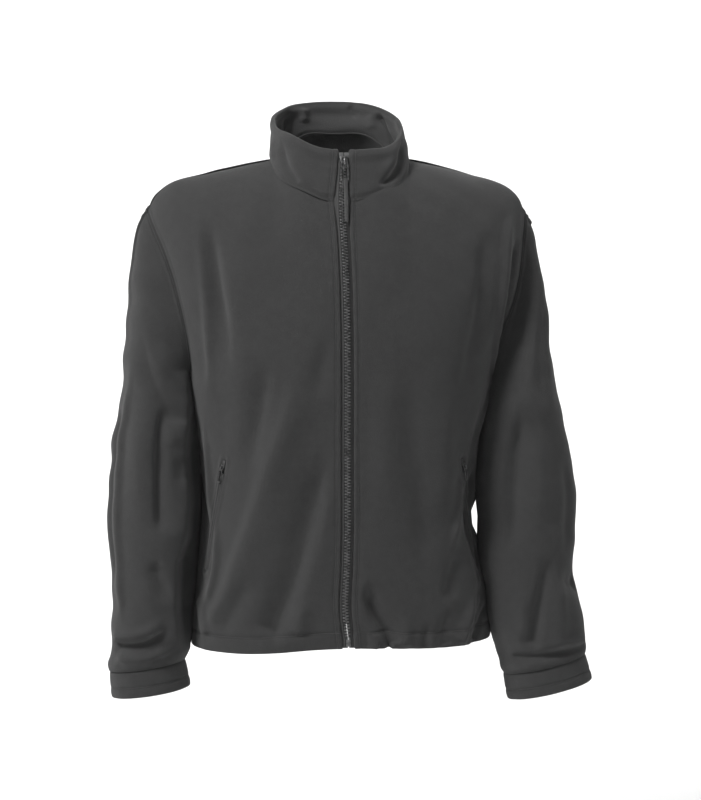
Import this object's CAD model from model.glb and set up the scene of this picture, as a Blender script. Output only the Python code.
"""A fleece jacket with a full-length front zip, kept in the hollow form that it has when it is worn.

The script sews the cloth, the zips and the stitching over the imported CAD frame. Tables are in millimetres
and meshes in metres. The front faces -Y, +X is the wearer's left and Z is up.
"""

import math

import bmesh
import bpy
import numpy as np
from mathutils import Matrix, Vector


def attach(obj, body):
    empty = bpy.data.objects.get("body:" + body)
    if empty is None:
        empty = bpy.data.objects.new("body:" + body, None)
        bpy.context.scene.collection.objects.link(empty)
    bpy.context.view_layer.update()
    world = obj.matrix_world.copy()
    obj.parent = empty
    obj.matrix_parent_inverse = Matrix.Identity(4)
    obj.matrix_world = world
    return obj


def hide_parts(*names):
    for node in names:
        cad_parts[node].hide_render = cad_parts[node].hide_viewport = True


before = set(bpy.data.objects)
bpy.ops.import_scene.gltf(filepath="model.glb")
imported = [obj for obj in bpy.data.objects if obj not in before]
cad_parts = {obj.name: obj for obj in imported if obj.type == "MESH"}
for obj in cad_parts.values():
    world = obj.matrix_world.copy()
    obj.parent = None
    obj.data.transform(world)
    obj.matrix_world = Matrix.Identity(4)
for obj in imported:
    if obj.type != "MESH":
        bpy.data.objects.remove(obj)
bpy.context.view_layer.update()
MM = 0.001
RIGHT, LEFT = -1, 1
FRONT, BACK = -1, 1
SIDE_NAME = {RIGHT: "right", LEFT: "left"}
FACE_NAME = {FRONT: "front", BACK: "back"}


def table(names, *rows):
    """Rows of numbers as records with these names."""
    return [dict(zip(names.split(), row)) for row in rows]


# ---- the studio
CAMERA = {
    "lens": 96.4, "sensor": 36, "aim": (0.017, 0.002, -0.335), "azimuth": -5.5, "elevation": 3, "off": 3.0,
}
LIGHTS = (  # name, place, what it points at, size and power
    ("key_light", (-2.45, -1.9, 3.2), (0, 0, -0.3), 1.3, 250),
    ("fill_light", (2.6, -2.6, 0.6), (0, 0, -0.3), 2.2, 5),
    ("back_light", (1.8, 2.8, 2.4), (0, 0, -0.3), 1.8, 50),
    ("backdrop_light", (0, 2.6, 2.4), (0, 5.6, 0.2), 2.0, 150),
)
WORLD_STRENGTH = 0.25
FLOOR = {"z": -1.15, "flat": 2.5, "bend_from": 3.6, "bend": 2.0, "top": 4.5, "steps": 8, "spokes": 64}
# Each material's greys, dark and light; the fleece's are those of its parts.
SHADE = {
    "floor": 0.72, "tape": (0.016, 0.042), "tape_end": (0.05, 0.11), "teeth": (0.04, 0.095),
    "metal": (0.09, 0.24), "rubber": (0.024, 0.04), "thread": (0.035, 0.06),
}
FLEECE_SHADE = {
    "dark": 0.0225, "light": 0.0315, "cloud": 0.029, "seam": 0.016, "rubbed": 0.038, "pill": 0.042,
    "inside": 0.052,
}

# ---- the cut
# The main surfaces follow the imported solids, so their sizes are the same ones.
CLOTH = 2.4
ROLL = (32, 62, 86)  # the turns, in degrees, at which a cloth's rounded border has its points
INSIDE = (0, 0, -300)  # a point within the body, for telling a cloth's outer face
HEM = {"z": -664, "turn": 20, "layers": 2, "dip_from": 150, "right": 8, "left": 3}
UNDERARM_Z = -310
EDGE_X = 10
SQUARENESS = 2.5
ARCH = {"front": 2.1, "back": 2.3}
NECK = {
    "half_width": 95, "front_y": -97, "front_drop": 0.6, "back_y": 70, "crown": 11, "nape": 40,
    "nape_back": 50,
}
COLLAR = {
    "thickness": 5, "rim_half_width": 87, "rim_shift": -2, "rim_squareness": 2.4,
    "rim_front_y": -80, "rim_back_y": 74, "rim_front_z": 6, "rim_back_z": 87, "inside_z": 60,
}
CUFF = {"height": 36, "thickness": 4.4, "top_grow": -1.5, "mouth_grow": 0.5}

BODY = table(
    "level right left front back seam",
    (0.0, 207, 215, 118, 108, 14),
    (0.16, 203, 208, 120, 107, 14),
    (0.38, 195, 195, 123, 106, 14),
    (0.54, 189, 190, 125, 107, 13),
    (0.75, 192, 192, 128, 111, 9),
    (1.0, 205, 206, 131, 116, 4),
    (1.3, 232, 246, 132, 120, 0),
    (1.6, 256, 258, 131, 120, 0),
    (2.0, 264, 262, 129, 118, 0),
)
SHOULDER = table(
    "out right left",
    (95, 0, 0),
    (130, -7, -7),
    (180, -19, -20),
    (228, -32, -34),
    (252, -50, -52),
    (264, -72, -76),
)
ARMHOLE = {
    "fullness": 0.78,
    "right": {"front": 13, "back": 16, "skew": 0.9},
    "left": {"front": 9, "back": 26, "skew": 0.3},
}
SLEEVE = {
    "right": table(
        "x y z wide deep lean",
        (255, 4, -335, 48, 74, 6),
        (257, 2, -400, 59, 70, 3),
        (257, -5, -480, 65, 66, 0),
        (257, -12, -545, 62, 62, 0),
        (261, -18, -605, 56, 57, -2),
        (264, -22, -655, 54, 52, -5),
        (268, -25, -697, 54, 46, -8),
    ),
    "left": table(
        "x y z wide deep lean",
        (259, 4, -335, 50, 74, 8),
        (265, 2, -400, 62, 70, 6),
        (267, -5, -470, 68, 66, 3),
        (266, -12, -535, 68, 62, 3),
        (270, -18, -590, 61, 57, 9),
        (280, -22, -650, 66, 52, 13),
        (288, -25, -704, 61, 46, 13),
    ),
}
PANEL = {"underarm_at": 0.57, "neck_at": 0.44}
CAP = {
    "underarm": 17, "middle": -35, "shoulder": -50, "pull": 0.6, "most_pull": 140, "under": 2.2,
    "allowance": 5,
}
# How many points each cloth is drawn with, across and along.
FRONT_GRID, BACK_GRID, COLLAR_GRID = (152, 200), (104, 190), (116, 36)
SLEEVE_TURNS = np.linspace(0, 2 * math.pi, 140, endpoint=False)
CAP_ROWS, ARM_ROWS, CUFF_ROWS = 58, 146, 30

# How far each stitch line, in order, lies from the edge that it follows.
FRONT_STITCH, SHOULDER_STITCH, ARMHOLE_STITCH, CUFF_STITCH = 5.5, 7, 7.2, 12
STITCH = {"long": 2.5, "radius": 0.32, "pitch": 3.1, "proud": 0.12, "unevenness": 0.12}
PUCKER_PITCHES = (7.3, 11.9, 17.7, 29.0)

# ---- how the worn cloth lies
# The cloth's slow rise and fall: the sizes of its waves across, in depth and up, and their height.
UNEVEN = {
    "body": (((150, 150, 130), 1.5), ((55, 55, 45), 0.45)),
    "sleeve": (((120, 120, 90), 1.6), ((45, 45, 40), 0.5)),
    "collar": (((70, 70, 60), 1.2),),
    "collar_inside": (((45, 45, 30), 1.0),),
}
WAVES = 9
CREASE_POINTS, CREASE_REACH, CREASE_FALL = 30, 3.2, 1.4
# The tucks that the hem's cord draws up are slight on the wearer's right and full beyond left_to.
GATHERS = {"height": 0.8, "above_hem": 12, "spread": 19, "right": 0.25, "left_from": 20, "left_to": 90}
# How far the collar's rim stands above its plain form, by how far round it is (-1 to 1).
COLLAR_RIM = (
    (-1.0, 0), (-0.9, 3), (-0.82, 8), (-0.74, 12), (-0.62, 7), (-0.5, 2), (-0.35, -2), (0, -3.5),
    (0.35, -3), (0.5, 0), (0.7, -1), (0.8, -3), (0.9, 0), (1.0, 0),
)
# The closed zip wanders a little from the centre line, by height, and the fronts part round its pull.
ZIP_SWAY = (
    (-664, 3.4), (-650, 2.2), (-636, 0.2), (-615, -2.2), (-590, -2.0), (-560, 0.0), (-500, 1.0),
    (-400, 0.4), (-240, 0.2), (-170, -0.8), (-120, -2.4), (-80, -4.2), (-50, -4.0), (-25, -2.0),
    (-8, -0.7), (6, 0),
)
ZIP_SWAY_FADE = (18, 70)  # how far from the centre line it dies away
PARTING = {"z": -56, "spread": 30, "by": 2.2, "opens": (5, 9.5), "closes": (14, 40)}
# How far the cloth at each side fills out towards the sleeve that rests against it, by height.
SIDE_FILL = {
    RIGHT: ((-640, 2.0), (-520, 0.5), (-420, 3.0), (-380, 4.5), (-320, 4.5)),
    LEFT: (
        (-640, 2.0), (-560, 5.0), (-530, 4.0), (-512, -2), (-492, -2), (-478, 4.5), (-460, 7.5),
        (-380, 6.0), (-320, 3.0),
    ),
}
FILL_FADE = {"top": (-280, -318), "hem": (-665, -640), "across": (160, 186)}
# By height, how far across the cloth at each side turns back and how far back it lies beyond there.
SIDE_DROP = {
    RIGHT: (
        (-660, 190, 4), (-620, 193, 6), (-590, 185, 8), (-545, 179, 10), (-500, 181, 9), (-430, 186, 4),
        (-380, 190, 0),
    ),
    LEFT: (
        (-668, 174, 12), (-625, 180, 20), (-588, 185, 20), (-545, 175, 25), (-520, 168, 28),
        (-489, 163, 30), (-470, 163, 30), (-445, 165, 28), (-420, 169, 24), (-388, 175, 20),
        (-350, 185, 10), (-330, 190, 0),
    ),
}
# The fold where it turns back, the fade towards the side seam, and how far forward the drop is whole.
DROP_FOLD, DROP_SEAM_FADE, DROP_WHOLE = (-1, 7), (2, 30), {"from_y": 12, "over": 75}
# By height, how far each sleeve's inner side swells and how far the part just ahead of it does.
ARM_FILL = {
    RIGHT: (
        (-700, 0, 0), (-676, 6, 5), (-650, 6, 6), (-590, 4.5, 5), (-540, 0, 3), (-480, 1, 6), (-430, 5, 14),
        (-375, 6, 16), (-335, 6, 12), (-312, 5, 9), (-290, 0, 2),
    ),
    LEFT: (
        (-680, 0, 0), (-630, 5.5, 4), (-555, 6, 5), (-520, 2, 1), (-500, 1.5, 0.5), (-470, 6, 5),
        (-430, 6.5, 7), (-350, 6, 6), (-300, 0, 0),
    ),
}
# How far round the sleeve each of the two reaches, and where the second one lies.
ARM_INNER_REACH, ARM_AHEAD_REACH, ARM_AHEAD_AT = 0.75, 0.42, 0.62
# By height, where the right sleeve's front turns in towards the body and how deep it sinks there.
ARM_HOLLOW = (
    (-690, 216, 0), (-664, 224, 20), (-619, 228, 34), (-552, 226, 34), (-521, 213, 32), (-470, 209, 32),
    (-409, 214, 34), (-339, 208, 26), (-311, 210, 16), (-265, 207, 0),
)

HOLLOW_FOLD, HOLLOW_WHOLE, HOLLOW_LEVEL = (-3, 9), (-6, 26), 8

# ---- zips
ZIP = {"top_z": 4, "bottom_z": -663, "slider_z": -9, "box_high": 13}
TAPE_ROWS, TAPE_END_ROWS = 260, 14
TAPE_OFF = (1.0, 2.2, 3.4, 4.4, 4.9, 5.4, 6.6, 7.8, 8.6, 9.2, 9.8, 10.6, 12, 13.5, 15, 17)
TOOTH = {"pitch": 4.2, "half": 0.85, "long": 3.9, "deep": 1.1, "unevenness": 0.02}
COIL = {"pitch": 1.15, "long": 0.72, "wide": 3.4, "deep": 0.62}
PULL = {"long": 82, "thick": 1.6, "clear": 2}
STRIP = {"wide": 5.4, "off": 1.0, "overlap": 3.4, "ribbed": 17, "pitch": 2.2}
SLIDER, POCKET_SLIDER = table(
    "wide long plate lift bail_wide bail_long bail_high bail_thick",
    (11, 18, 1.3, 0.3, 2.4, 10, 5, 1.8),
    (5.6, 10, 1.2, 0.3, 1.6, 6.4, 3.4, 1.2),
)
FRONT_RING, POCKET_RING = table(
    "bar rail frame_wide frame_long thick", (1.5, 1.8, 10.6, 24, 1.6), (1.2, 1.1, 5, 19, 1.2)
)
BAIL_EYE, BAR_CLEAR = 0.62, 0.5  # where a pull's bar hangs in the eye of its slider's bail
POCKET = {"top_x": 162, "bottom_x": 186, "top_z": -412, "bottom_z": -566, "slider_at": 0.93}
POCKET_LIP = {"centre": 6.0, "spread": 2.6, "height": 1.7, "depth": 1.1}
POCKET_TAPE = {"half": 3.9, "rows": 70, "columns": 9, "top": 0.35, "thickness": 0.6}
WELT = {  # from the pocket's line outwards: how high the welt's face stands, and its underside
    "off": (0.45, 0.6, 0.9, 1.5, 2.5, 3.7, 5.0, 6.4),
    "top": (2.5, 2.85, 3.1, 3.3, 3.25, 2.8, 2.2, 1.5),
    "under": (1.75, 1.75, 1.75, 1.75, 1.7, 1.3, 0.8, 0.1),
    "reach": 0.885, "rows": 90, "widens": 0.42, "widens_over": (0.78, 0.87), "low_end": 0.45,
    "rises_over": (0, 0.035),
}

# ---- creases
# Each row is a crease: its height at the crest, or below zero its depth as a trough; its width; its lean,
# which makes one flank steeper; the shares of its length over which its two ends die away; and the points
# on the cloth, across and up, that it runs through.
FRONT_CREASES = [
    # the wearer's right
    (4.6, 10, 0, (0.3, 0.35), (-197, -80), (-192, -140), (-187, -205), (-182, -275), (-178, -345)),
    (-9, 16, 0.3, (0.3, 0.45), (-186, -78), (-178, -130), (-171, -185), (-162, -240), (-156, -310)),
    (3.4, 24, 0, (0.35, 0.45), (-175, -98), (-160, -146), (-151, -200), (-143, -270), (-138, -335),
     (-148, -420)),
    (-6.5, 17, 0.25, (0.3, 0.35), (-104, -262), (-117, -344), (-124, -380), (-136, -440)),
    (9, 22, -0.25, (0.3, 0.12), (-62, -255), (-74, -330), (-97, -399), (-124, -491), (-143, -545),
     (-163, -606), (-187, -645)),
    (-5, 18, 0, (0.4, 0.4), (-20, -235), (-30, -285), (-50, -335)),
    (-13, 24, 0.35, (0.35, 0.08), (-16, -380), (-32, -425), (-46, -475), (-60, -530), (-74, -580),
     (-92, -625), (-104, -655)),
    (-5, 15, 0, (0.4, 0.2), (-128, -560), (-150, -610), (-172, -650)),
    (4.5, 14, 0, (0.4, 0.2), (-58, -596), (-66, -650)),
    (5.5, 8, 0.2, (0.3, 0.2), (-186, -345), (-181, -410), (-177, -470), (-172, -530), (-178, -585),
     (-190, -612)),
    (-6, 7, 0, (0.3, 0.3), (-191, -420), (-186, -480), (-182, -540), (-184, -590)),
    (5, 11, 0, (0.3, 0.1), (-196, -600), (-192, -620), (-186, -655)),
    (3, 26, 0, (0.4, 0.4), (-118, -50), (-136, -120), (-140, -220)),
    (-2.4, 30, 0, (0.4, 0.4), (-60, -90), (-70, -160), (-62, -240)),
    # the wearer's left
    (6.5, 10, -0.2, (0.15, 0.25), (243, -70), (230, -104), (224, -157), (218, -210), (213, -260),
     (206, -307), (188, -370), (172, -420)),
    (-7, 9, 0, (0.15, 0.2), (247, -105), (240, -150), (233, -200), (222, -255), (211, -300)),
    (-5.5, 17, -0.2, (0.15, 0.4), (198, -92), (186, -199), (172, -262), (160, -330)),
    (-6.5, 24, 0, (0.3, 0.3), (86, -240), (88, -356), (98, -435), (108, -508), (118, -600)),
    (4.5, 22, 0, (0.35, 0.35), (134, -300), (136, -400), (134, -500)),
    (3.5, 22, 0, (0.4, 0.4), (48, -280), (50, -400), (58, -520)),
    (3.5, 9, 0, (0.4, 0.35), (16, -500), (20, -560), (22, -600), (28, -630)),
    (-13, 11, -0.3, (0.3, 0.02), (22, -572), (30, -600), (42, -624), (54, -645), (62, -668)),
    (4, 9, 0.3, (0.4, 0.02), (12, -610), (26, -636), (36, -654), (42, -668)),
    (4, 13, 0, (0.4, 0.05), (78, -605), (84, -640), (80, -664)),
    (6, 9, -0.3, (0.3, 0.3), (166, -400), (159, -445), (156, -479), (150, -512), (146, -546)),
    (-6, 9, 0, (0.3, 0.3), (182, -425), (178, -460), (174, -500), (176, -540)),
    (-6, 14, 0, (0.3, 0.3), (158, -540), (148, -575), (138, -612)),
    (4.5, 9, 0, (0.3, 0.3), (172, -545), (182, -575), (186, -605)),
    (6.5, 10, 0.25, (0.25, 0.05), (190, -600), (172, -636), (160, -666)),
    (-5.5, 8, 0, (0.3, 0.05), (204, -618), (190, -645), (182, -666)),
    (-3.6, 9, 0, (0.3, 0.05), (142, -615), (136, -645), (138, -666)),
    (-3, 8, 0, (0.5, 0.05), (112, -630), (108, -666)),
    (-2.4, 5, 0, (0.5, 0.05), (26, -636), (24, -664)),
]
BACK_CREASES = [
    (6, 24, 0, (0.35, 0.35), (-70, -60), (-120, -150), (-160, -270)),
    (6.5, 24, 0, (0.35, 0.35), (70, -64), (126, -150), (164, -262)),
    (-7, 16, 0.2, (0.25, 0.35), (-178, -150), (-172, -250), (-182, -330)),
    (-7, 16, -0.2, (0.25, 0.35), (182, -140), (176, -240), (184, -320)),
    (7.5, 24, 0, (0.3, 0.15), (-150, -330), (-120, -420), (-96, -520), (-88, -640)),
    (-9, 24, -0.2, (0.35, 0.1), (-110, -330), (-70, -440), (-52, -560), (-50, -655)),
    (6.5, 28, 0, (0.4, 0.1), (-6, -360), (4, -470), (8, -655)),
    (-8.5, 22, 0.2, (0.35, 0.1), (96, -320), (64, -430), (50, -560), (54, -655)),
    (7, 22, 0, (0.3, 0.15), (150, -330), (118, -430), (100, -540), (104, -650)),
    (-6.5, 18, 0, (0.35, 0.1), (176, -430), (160, -520), (158, -650)),
    (-6, 18, 0, (0.35, 0.1), (-176, -440), (-160, -530), (-160, -650)),
    (4.5, 20, 0, (0.35, 0.35), (-50, -40), (0, -58), (50, -40)),
    (-4, 20, 0, (0.4, 0.4), (-60, -360), (0, -378), (60, -352)),
]
# A sleeve's creases lie by how far out across the arm they are, from -1 at its inner side to 1 at its
# outer side, and by height.
SLEEVE_CREASES = {
    ("right", FRONT): [
        (-8.5, 15, 0.2, (0.3, 0.2), (0.45, -225), (0.2, -283), (-0.1, -318), (-0.35, -339),
         (-0.75, -372)),
        (-9, 9, -0.35, (0.2, 0.3), (-0.18, -338), (-0.09, -395), (-0.07, -479), (-0.12, -516)),
        (7.5, 19, 0, (0.4, 0.4), (-0.5, -352), (-0.42, -400)),
        (8.5, 20, 0, (0.4, 0.4), (-0.66, -462), (-0.52, -535)),
        (-5.5, 14, 0, (0.4, 0.4), (-0.6, -400), (-0.55, -455)),
        (-7.5, 13, 0.25, (0.35, 0.35), (0.05, -545), (-0.15, -575), (-0.45, -612)),
        (5, 9, 0.3, (0.2, 0.15), (0.74, -270), (0.76, -380), (0.78, -480), (0.78, -560), (0.74, -640)),
        (-5, 8, 0, (0.2, 0.2), (0.92, -330), (0.94, -450), (0.94, -600)),
        (5.5, 20, 0, (0.3, 0.4), (0.3, -330), (0.34, -430), (0.3, -520)),
        (-7.5, 7, 0.3, (0.1, 0.3), (1.0, -668), (0.11, -661), (-0.5, -642)),
        (5.5, 8, 0, (0.1, 0.4), (0.98, -655), (0.2, -647), (-0.4, -628)),
        (5, 7, 0, (0.15, 0.25), (0.9, -684), (0.1, -681), (-0.7, -668)),
    ],
    ("left", FRONT): [
        (-5.5, 15, 0, (0.3, 0.35), (0.3, -190), (0.4, -260), (0.38, -353)),
        (6.5, 12, 0.2, (0.25, 0.35), (-0.35, -320), (-0.62, -410), (-0.76, -480)),
        (-8, 14, -0.2, (0.3, 0.25), (-0.2, -330), (-0.4, -400), (-0.46, -469), (-0.5, -565)),
        (5.5, 20, 0, (0.35, 0.35), (0.1, -360), (0.12, -450), (0.0, -540)),
        (-9.5, 12, 0.2, (0.3, 0.1), (0.35, -545), (0.16, -590), (-0.08, -629), (-0.35, -684)),
        (6, 15, 0, (0.3, 0.2), (0.55, -580), (0.4, -630), (0.2, -684)),
        (-7.5, 15, 0, (0.5, 0.05), (0.55, -580), (0.85, -588), (1.0, -592)),
        (-4.5, 14, 0, (0.35, 0.3), (0.72, -400), (0.76, -480), (0.7, -560)),
        (5.5, 13, 0, (0.3, 0.2), (-0.55, -600), (-0.4, -640), (-0.7, -672)),
        (-5.5, 6, 0, (0.1, 0.1), (-0.85, -690), (-0.2, -688), (0.5, -684), (1.0, -680)),
        (4, 7, 0, (0.1, 0.1), (-0.9, -676), (-0.2, -675), (0.5, -671), (1.0, -668)),
    ],
    ("right", BACK): [
        (-7, 16, 0, (0.3, 0.25), (0.2, -220), (-0.2, -300), (-0.6, -350)),
        (6.5, 20, 0, (0.3, 0.3), (0.5, -300), (0.2, -400), (0.3, -500)),
        (-6.5, 12, 0, (0.3, 0.3), (-0.4, -390), (0.0, -430), (0.6, -450)),
        (-6, 12, 0, (0.3, 0.3), (-0.5, -440), (0.1, -480), (0.7, -490)),
        (-6.5, 14, 0, (0.3, 0.3), (0.0, -560), (-0.3, -610), (-0.2, -650)),
        (-6, 8, 0, (0.2, 0.2), (0.9, -660), (0.0, -656), (-0.7, -650)),
    ],
    ("left", BACK): [
        (-7, 16, 0, (0.3, 0.25), (0.1, -210), (-0.3, -290), (-0.7, -350)),
        (6.5, 20, 0, (0.3, 0.3), (0.5, -320), (0.3, -400), (0.2, -520)),
        (-7, 12, 0, (0.3, 0.3), (-0.5, -400), (0.0, -430), (0.5, -440)),
        (-5.5, 12, 0, (0.3, 0.3), (-0.3, -460), (0.2, -500), (0.8, -505)),
        (-7.5, 14, 0, (0.3, 0.2), (0.3, -560), (0.0, -620), (-0.2, -680)),
        (-5.5, 7, 0, (0.2, 0.2), (0.9, -676), (0.0, -682), (-0.7, -690)),
    ],
}
# The collar's creases run over its part of the way round, from the right end of the rim (-1) by the back
# (0) to the left end (1), and over its height, from the neck seam (0) to the rim (1).
COLLAR_CREASES = [
    (-4.5, 7, 0.25, (0.4, 0.1), (-0.66, 0.85), (-0.71, 0.45), (-0.8, 0.02)),
    (2.6, 9, 0, (0.4, 0.3), (-0.73, 0.75), (-0.8, 0.35), (-0.88, 0.1)),
    (-6.5, 8, -0.3, (0.3, 0.25), (0.6, 0.95), (0.68, 0.5), (0.78, 0.2), (0.86, 0.08)),
    (3, 10, 0, (0.4, 0.4), (0.7, 0.95), (0.78, 0.55), (0.88, 0.3)),
    (2.4, 9, 0, (0.4, 0.4), (0.5, 0.75), (0.55, 0.3)),
    (2.4, 10, 0, (0.4, 0.3), (-0.52, 0.7), (-0.58, 0.1)),
]
# These are only on the collar's inner face; above zero is a hollow as seen from inside.
COLLAR_INSIDE = [
    (6, 11, 0, (0.25, 0.2), (-0.22, 0.85), (-0.27, 0.4), (-0.24, 0.1)),
    (-3.5, 8, 0, (0.3, 0.3), (-0.14, 0.9), (-0.15, 0.3)),
    (3, 6, 0.3, (0.3, 0.4), (0.06, 0.95), (0.11, 0.4)),
    (7, 8, -0.3, (0.25, 0.1), (0.24, 0.9), (0.29, 0.5), (0.35, 0.15)),
    (-3, 9, 0, (0.4, 0.3), (0.18, 0.8), (0.2, 0.2)),
    (-3, 12, 0, (0.3, 0.2), (-0.45, 0.9), (-0.42, 0.2)),
]


# ---- camera, light and floor
def shown(name, data):
    """An object of the scene with this mesh, light or camera."""
    made = bpy.data.objects.new(name, data)
    bpy.context.scene.collection.objects.link(made)
    return made


def grey(value):
    return (value, value, value, 1)


def set_camera():
    """The camera stands a little to the wearer's right, three metres off and just above the chest."""
    data = bpy.data.cameras.new("camera")
    data.lens, data.sensor_width = CAMERA["lens"], CAMERA["sensor"]
    camera = shown("camera", data)
    azimuth, elevation = math.radians(CAMERA["azimuth"]), math.radians(CAMERA["elevation"])
    back = Vector((
        math.sin(azimuth) * math.cos(elevation),
        -math.cos(azimuth) * math.cos(elevation),
        math.sin(elevation),
    ))
    camera.location = Vector(CAMERA["aim"]) + CAMERA["off"] * back
    camera.rotation_euler = (-back).to_track_quat("-Z", "Y").to_euler()
    bpy.context.scene.camera = camera


def set_lights():
    """A soft key from high on the wearer's right, a faint fill from the other side and a light behind."""
    for name, place, aim, size, power in LIGHTS:
        data = bpy.data.lights.new(name, "AREA")
        data.shape, data.size, data.energy = "DISK", size, power
        light = shown(name, data)
        light.location = place
        light.rotation_euler = (Vector(aim) - Vector(place)).to_track_quat("-Z", "Y").to_euler()
    world = bpy.data.worlds.new("studio")
    world.use_nodes = True
    background = world.node_tree.nodes["Background"]
    background.inputs["Color"].default_value = (1, 1, 1, 1)
    background.inputs["Strength"].default_value = WORLD_STRENGTH
    bpy.context.scene.world = world
    bpy.context.scene.view_settings.view_transform = "Standard"


def skin_faces(rings, sides):
    """The faces of a skin through rings of points, with a cap over the first ring."""
    faces = []
    for i in range(rings - 1):
        for j in range(sides):
            a, b = i * sides + j, i * sides + (j + 1) % sides
            faces.append((a, b, b + sides, a + sides))
    return faces + [tuple(reversed(range(sides)))]


def set_floor():
    """A round pale floor that turns up at its rim, so that it is the backdrop from every side."""
    bend_from, bend, steps, spokes = (FLOOR[key] for key in ("bend_from", "bend", "steps", "spokes"))
    profile = [(FLOOR["flat"], 0.0), (bend_from, 0.02)]
    for step in range(1, steps + 1):
        angle = math.radians(90 * step / steps)
        profile.append((bend_from + bend * math.sin(angle), bend * (1 - math.cos(angle))))
    profile.append((bend_from + bend, FLOOR["top"]))
    spots = [
        (r * math.cos(a), r * math.sin(a), FLOOR["z"] + z)
        for r, z in profile for a in np.linspace(0, 2 * math.pi, spokes, False)
    ]
    mesh = bpy.data.meshes.new("floor")
    mesh.from_pydata(spots, [], skin_faces(len(profile), spokes))
    mesh.shade_smooth()
    material = bpy.data.materials.new("pale_floor")
    material.use_nodes = True
    shader = material.node_tree.nodes["Principled BSDF"]
    shader.inputs["Base Color"].default_value = grey(SHADE["floor"])
    shader.inputs["Roughness"].default_value = 0.9
    mesh.materials.append(material)
    shown("floor", mesh)


# ---- small helpers
def read(rows, key, at, name):
    """A table's column, read smoothly at any values of its key."""
    keys = np.array([row[key] for row in rows], float)
    values = np.array([row[name] for row in rows], float)
    last = len(keys) - 1
    before, after = np.maximum(np.arange(last + 1) - 1, 0), np.minimum(np.arange(last + 1) + 1, last)
    slope = (values[after] - values[before]) / (keys[after] - keys[before])
    at = np.asarray(at, float)
    i = np.clip(np.searchsorted(keys, at) - 1, 0, last - 1)
    width = keys[i + 1] - keys[i]
    t = np.clip((at - keys[i]) / width, 0, 1)
    t2, t3 = t * t, t * t * t
    return (
        (2 * t3 - 3 * t2 + 1) * values[i]
        + (t3 - 2 * t2 + t) * width * slope[i]
        + (3 * t2 - 2 * t3) * values[i + 1]
        + (t3 - t2) * width * slope[i + 1]
    )


def mix(a, b, share):
    return a + (b - a) * share


def smooth(value, low, high):
    t = np.clip((np.asarray(value, float) - low) / (high - low), 0, 1)
    return t * t * (3 - 2 * t)


def bell(off, width):
    """1 at nothing off, dying away smoothly over a width."""
    return np.exp(-((off / width) ** 2))


def signed_power(base, exponent):
    return np.sign(base) * np.abs(base) ** exponent


def points(x, y, z):
    return np.stack(np.broadcast_arrays(x, y, z), axis=-1).astype(float)


def moved(spots, axis, by):
    """Points moved along one axis."""
    return spots + np.stack([by if k == axis else 0 * by for k in range(3)], -1)


def columns_of(rows):
    """The columns of a table of bare numbers."""
    return (np.array(column, float) for column in zip(*rows))


def unit(vectors):
    length = np.linalg.norm(vectors, axis=-1, keepdims=True)
    return vectors / np.maximum(length, 1e-9)


def dot(a, b):
    return np.sum(a * b, axis=-1, keepdims=True)


def curve_through(control, count):
    """Points evenly spread in step along a smooth curve through the control points."""
    control = np.asarray(control, float)
    if len(control) == 2:
        return mix(control[0], control[1], np.linspace(0, 1, count)[:, None])
    ends = np.vstack([2 * control[0] - control[1], control, 2 * control[-1] - control[-2]])
    at = np.linspace(0, len(control) - 1, count)
    i = np.minimum(at.astype(int), len(control) - 2)
    t = (at - i)[:, None]
    a, b, c, d = ends[i], ends[i + 1], ends[i + 2], ends[i + 3]
    square, cube = 2 * a - 5 * b + 4 * c - d, 3 * b - a - 3 * c + d
    return 0.5 * (2 * b + (c - a) * t + square * t**2 + cube * t**3)


def nearest(spots, line, facing=None):
    """How far points are from a line, at what share of its length, and on which hand of it."""
    best, share, hand = np.full(len(spots), 1e9), np.zeros(len(spots)), np.ones(len(spots))
    for k in range(len(line) - 1):
        step = line[k + 1] - line[k]
        t = np.clip((spots - line[k]) @ step / (step @ step), 0, 1)
        off = spots - line[k] - t[:, None] * step
        distance = np.linalg.norm(off, axis=1)
        closer = distance < best
        best = np.where(closer, distance, best)
        share = np.where(closer, (k + t) / (len(line) - 1), share)
        if facing is not None:
            hand = np.where(closer, np.sign(np.sum(np.cross(step, facing) * off, axis=1)), hand)
    return best, share, hand


# ---- body form
def nape_share(out):
    return (1 - np.minimum(out / NECK["half_width"], 1) ** 4) ** 2


def ridge_height(x, side):
    out = np.abs(x)
    share = np.minimum(out / NECK["half_width"], 1)
    shoulder = read(SHOULDER, "out", out, SIDE_NAME[side])
    line = np.where(share < 1, NECK["crown"] * (1 - share * share), shoulder)
    return line + NECK["nape"] * nape_share(out)


def hem_height(x, side):
    share = np.minimum(np.abs(x) / HEM["dip_from"], 1)
    return HEM["z"] - HEM[SIDE_NAME[side]] * np.sin(share * math.pi / 2) ** 2


def cloth_edge(face):
    """How far from the centre line a face's cloth begins."""
    return EDGE_X if face == FRONT else 0


def ridge_y(face, x):
    """How far back the ridge of the shoulders lies."""
    return NECK["nape_back"] * nape_share(np.abs(x)) if face == BACK else 0


def body_section(side, face, level):
    """The half width, the depth and the side seam's place of the body at a level."""
    half = read(BODY, "level", level, SIDE_NAME[side])
    depth = read(BODY, "level", level, FACE_NAME[face])
    return half, depth, read(BODY, "level", level, "seam")


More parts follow.
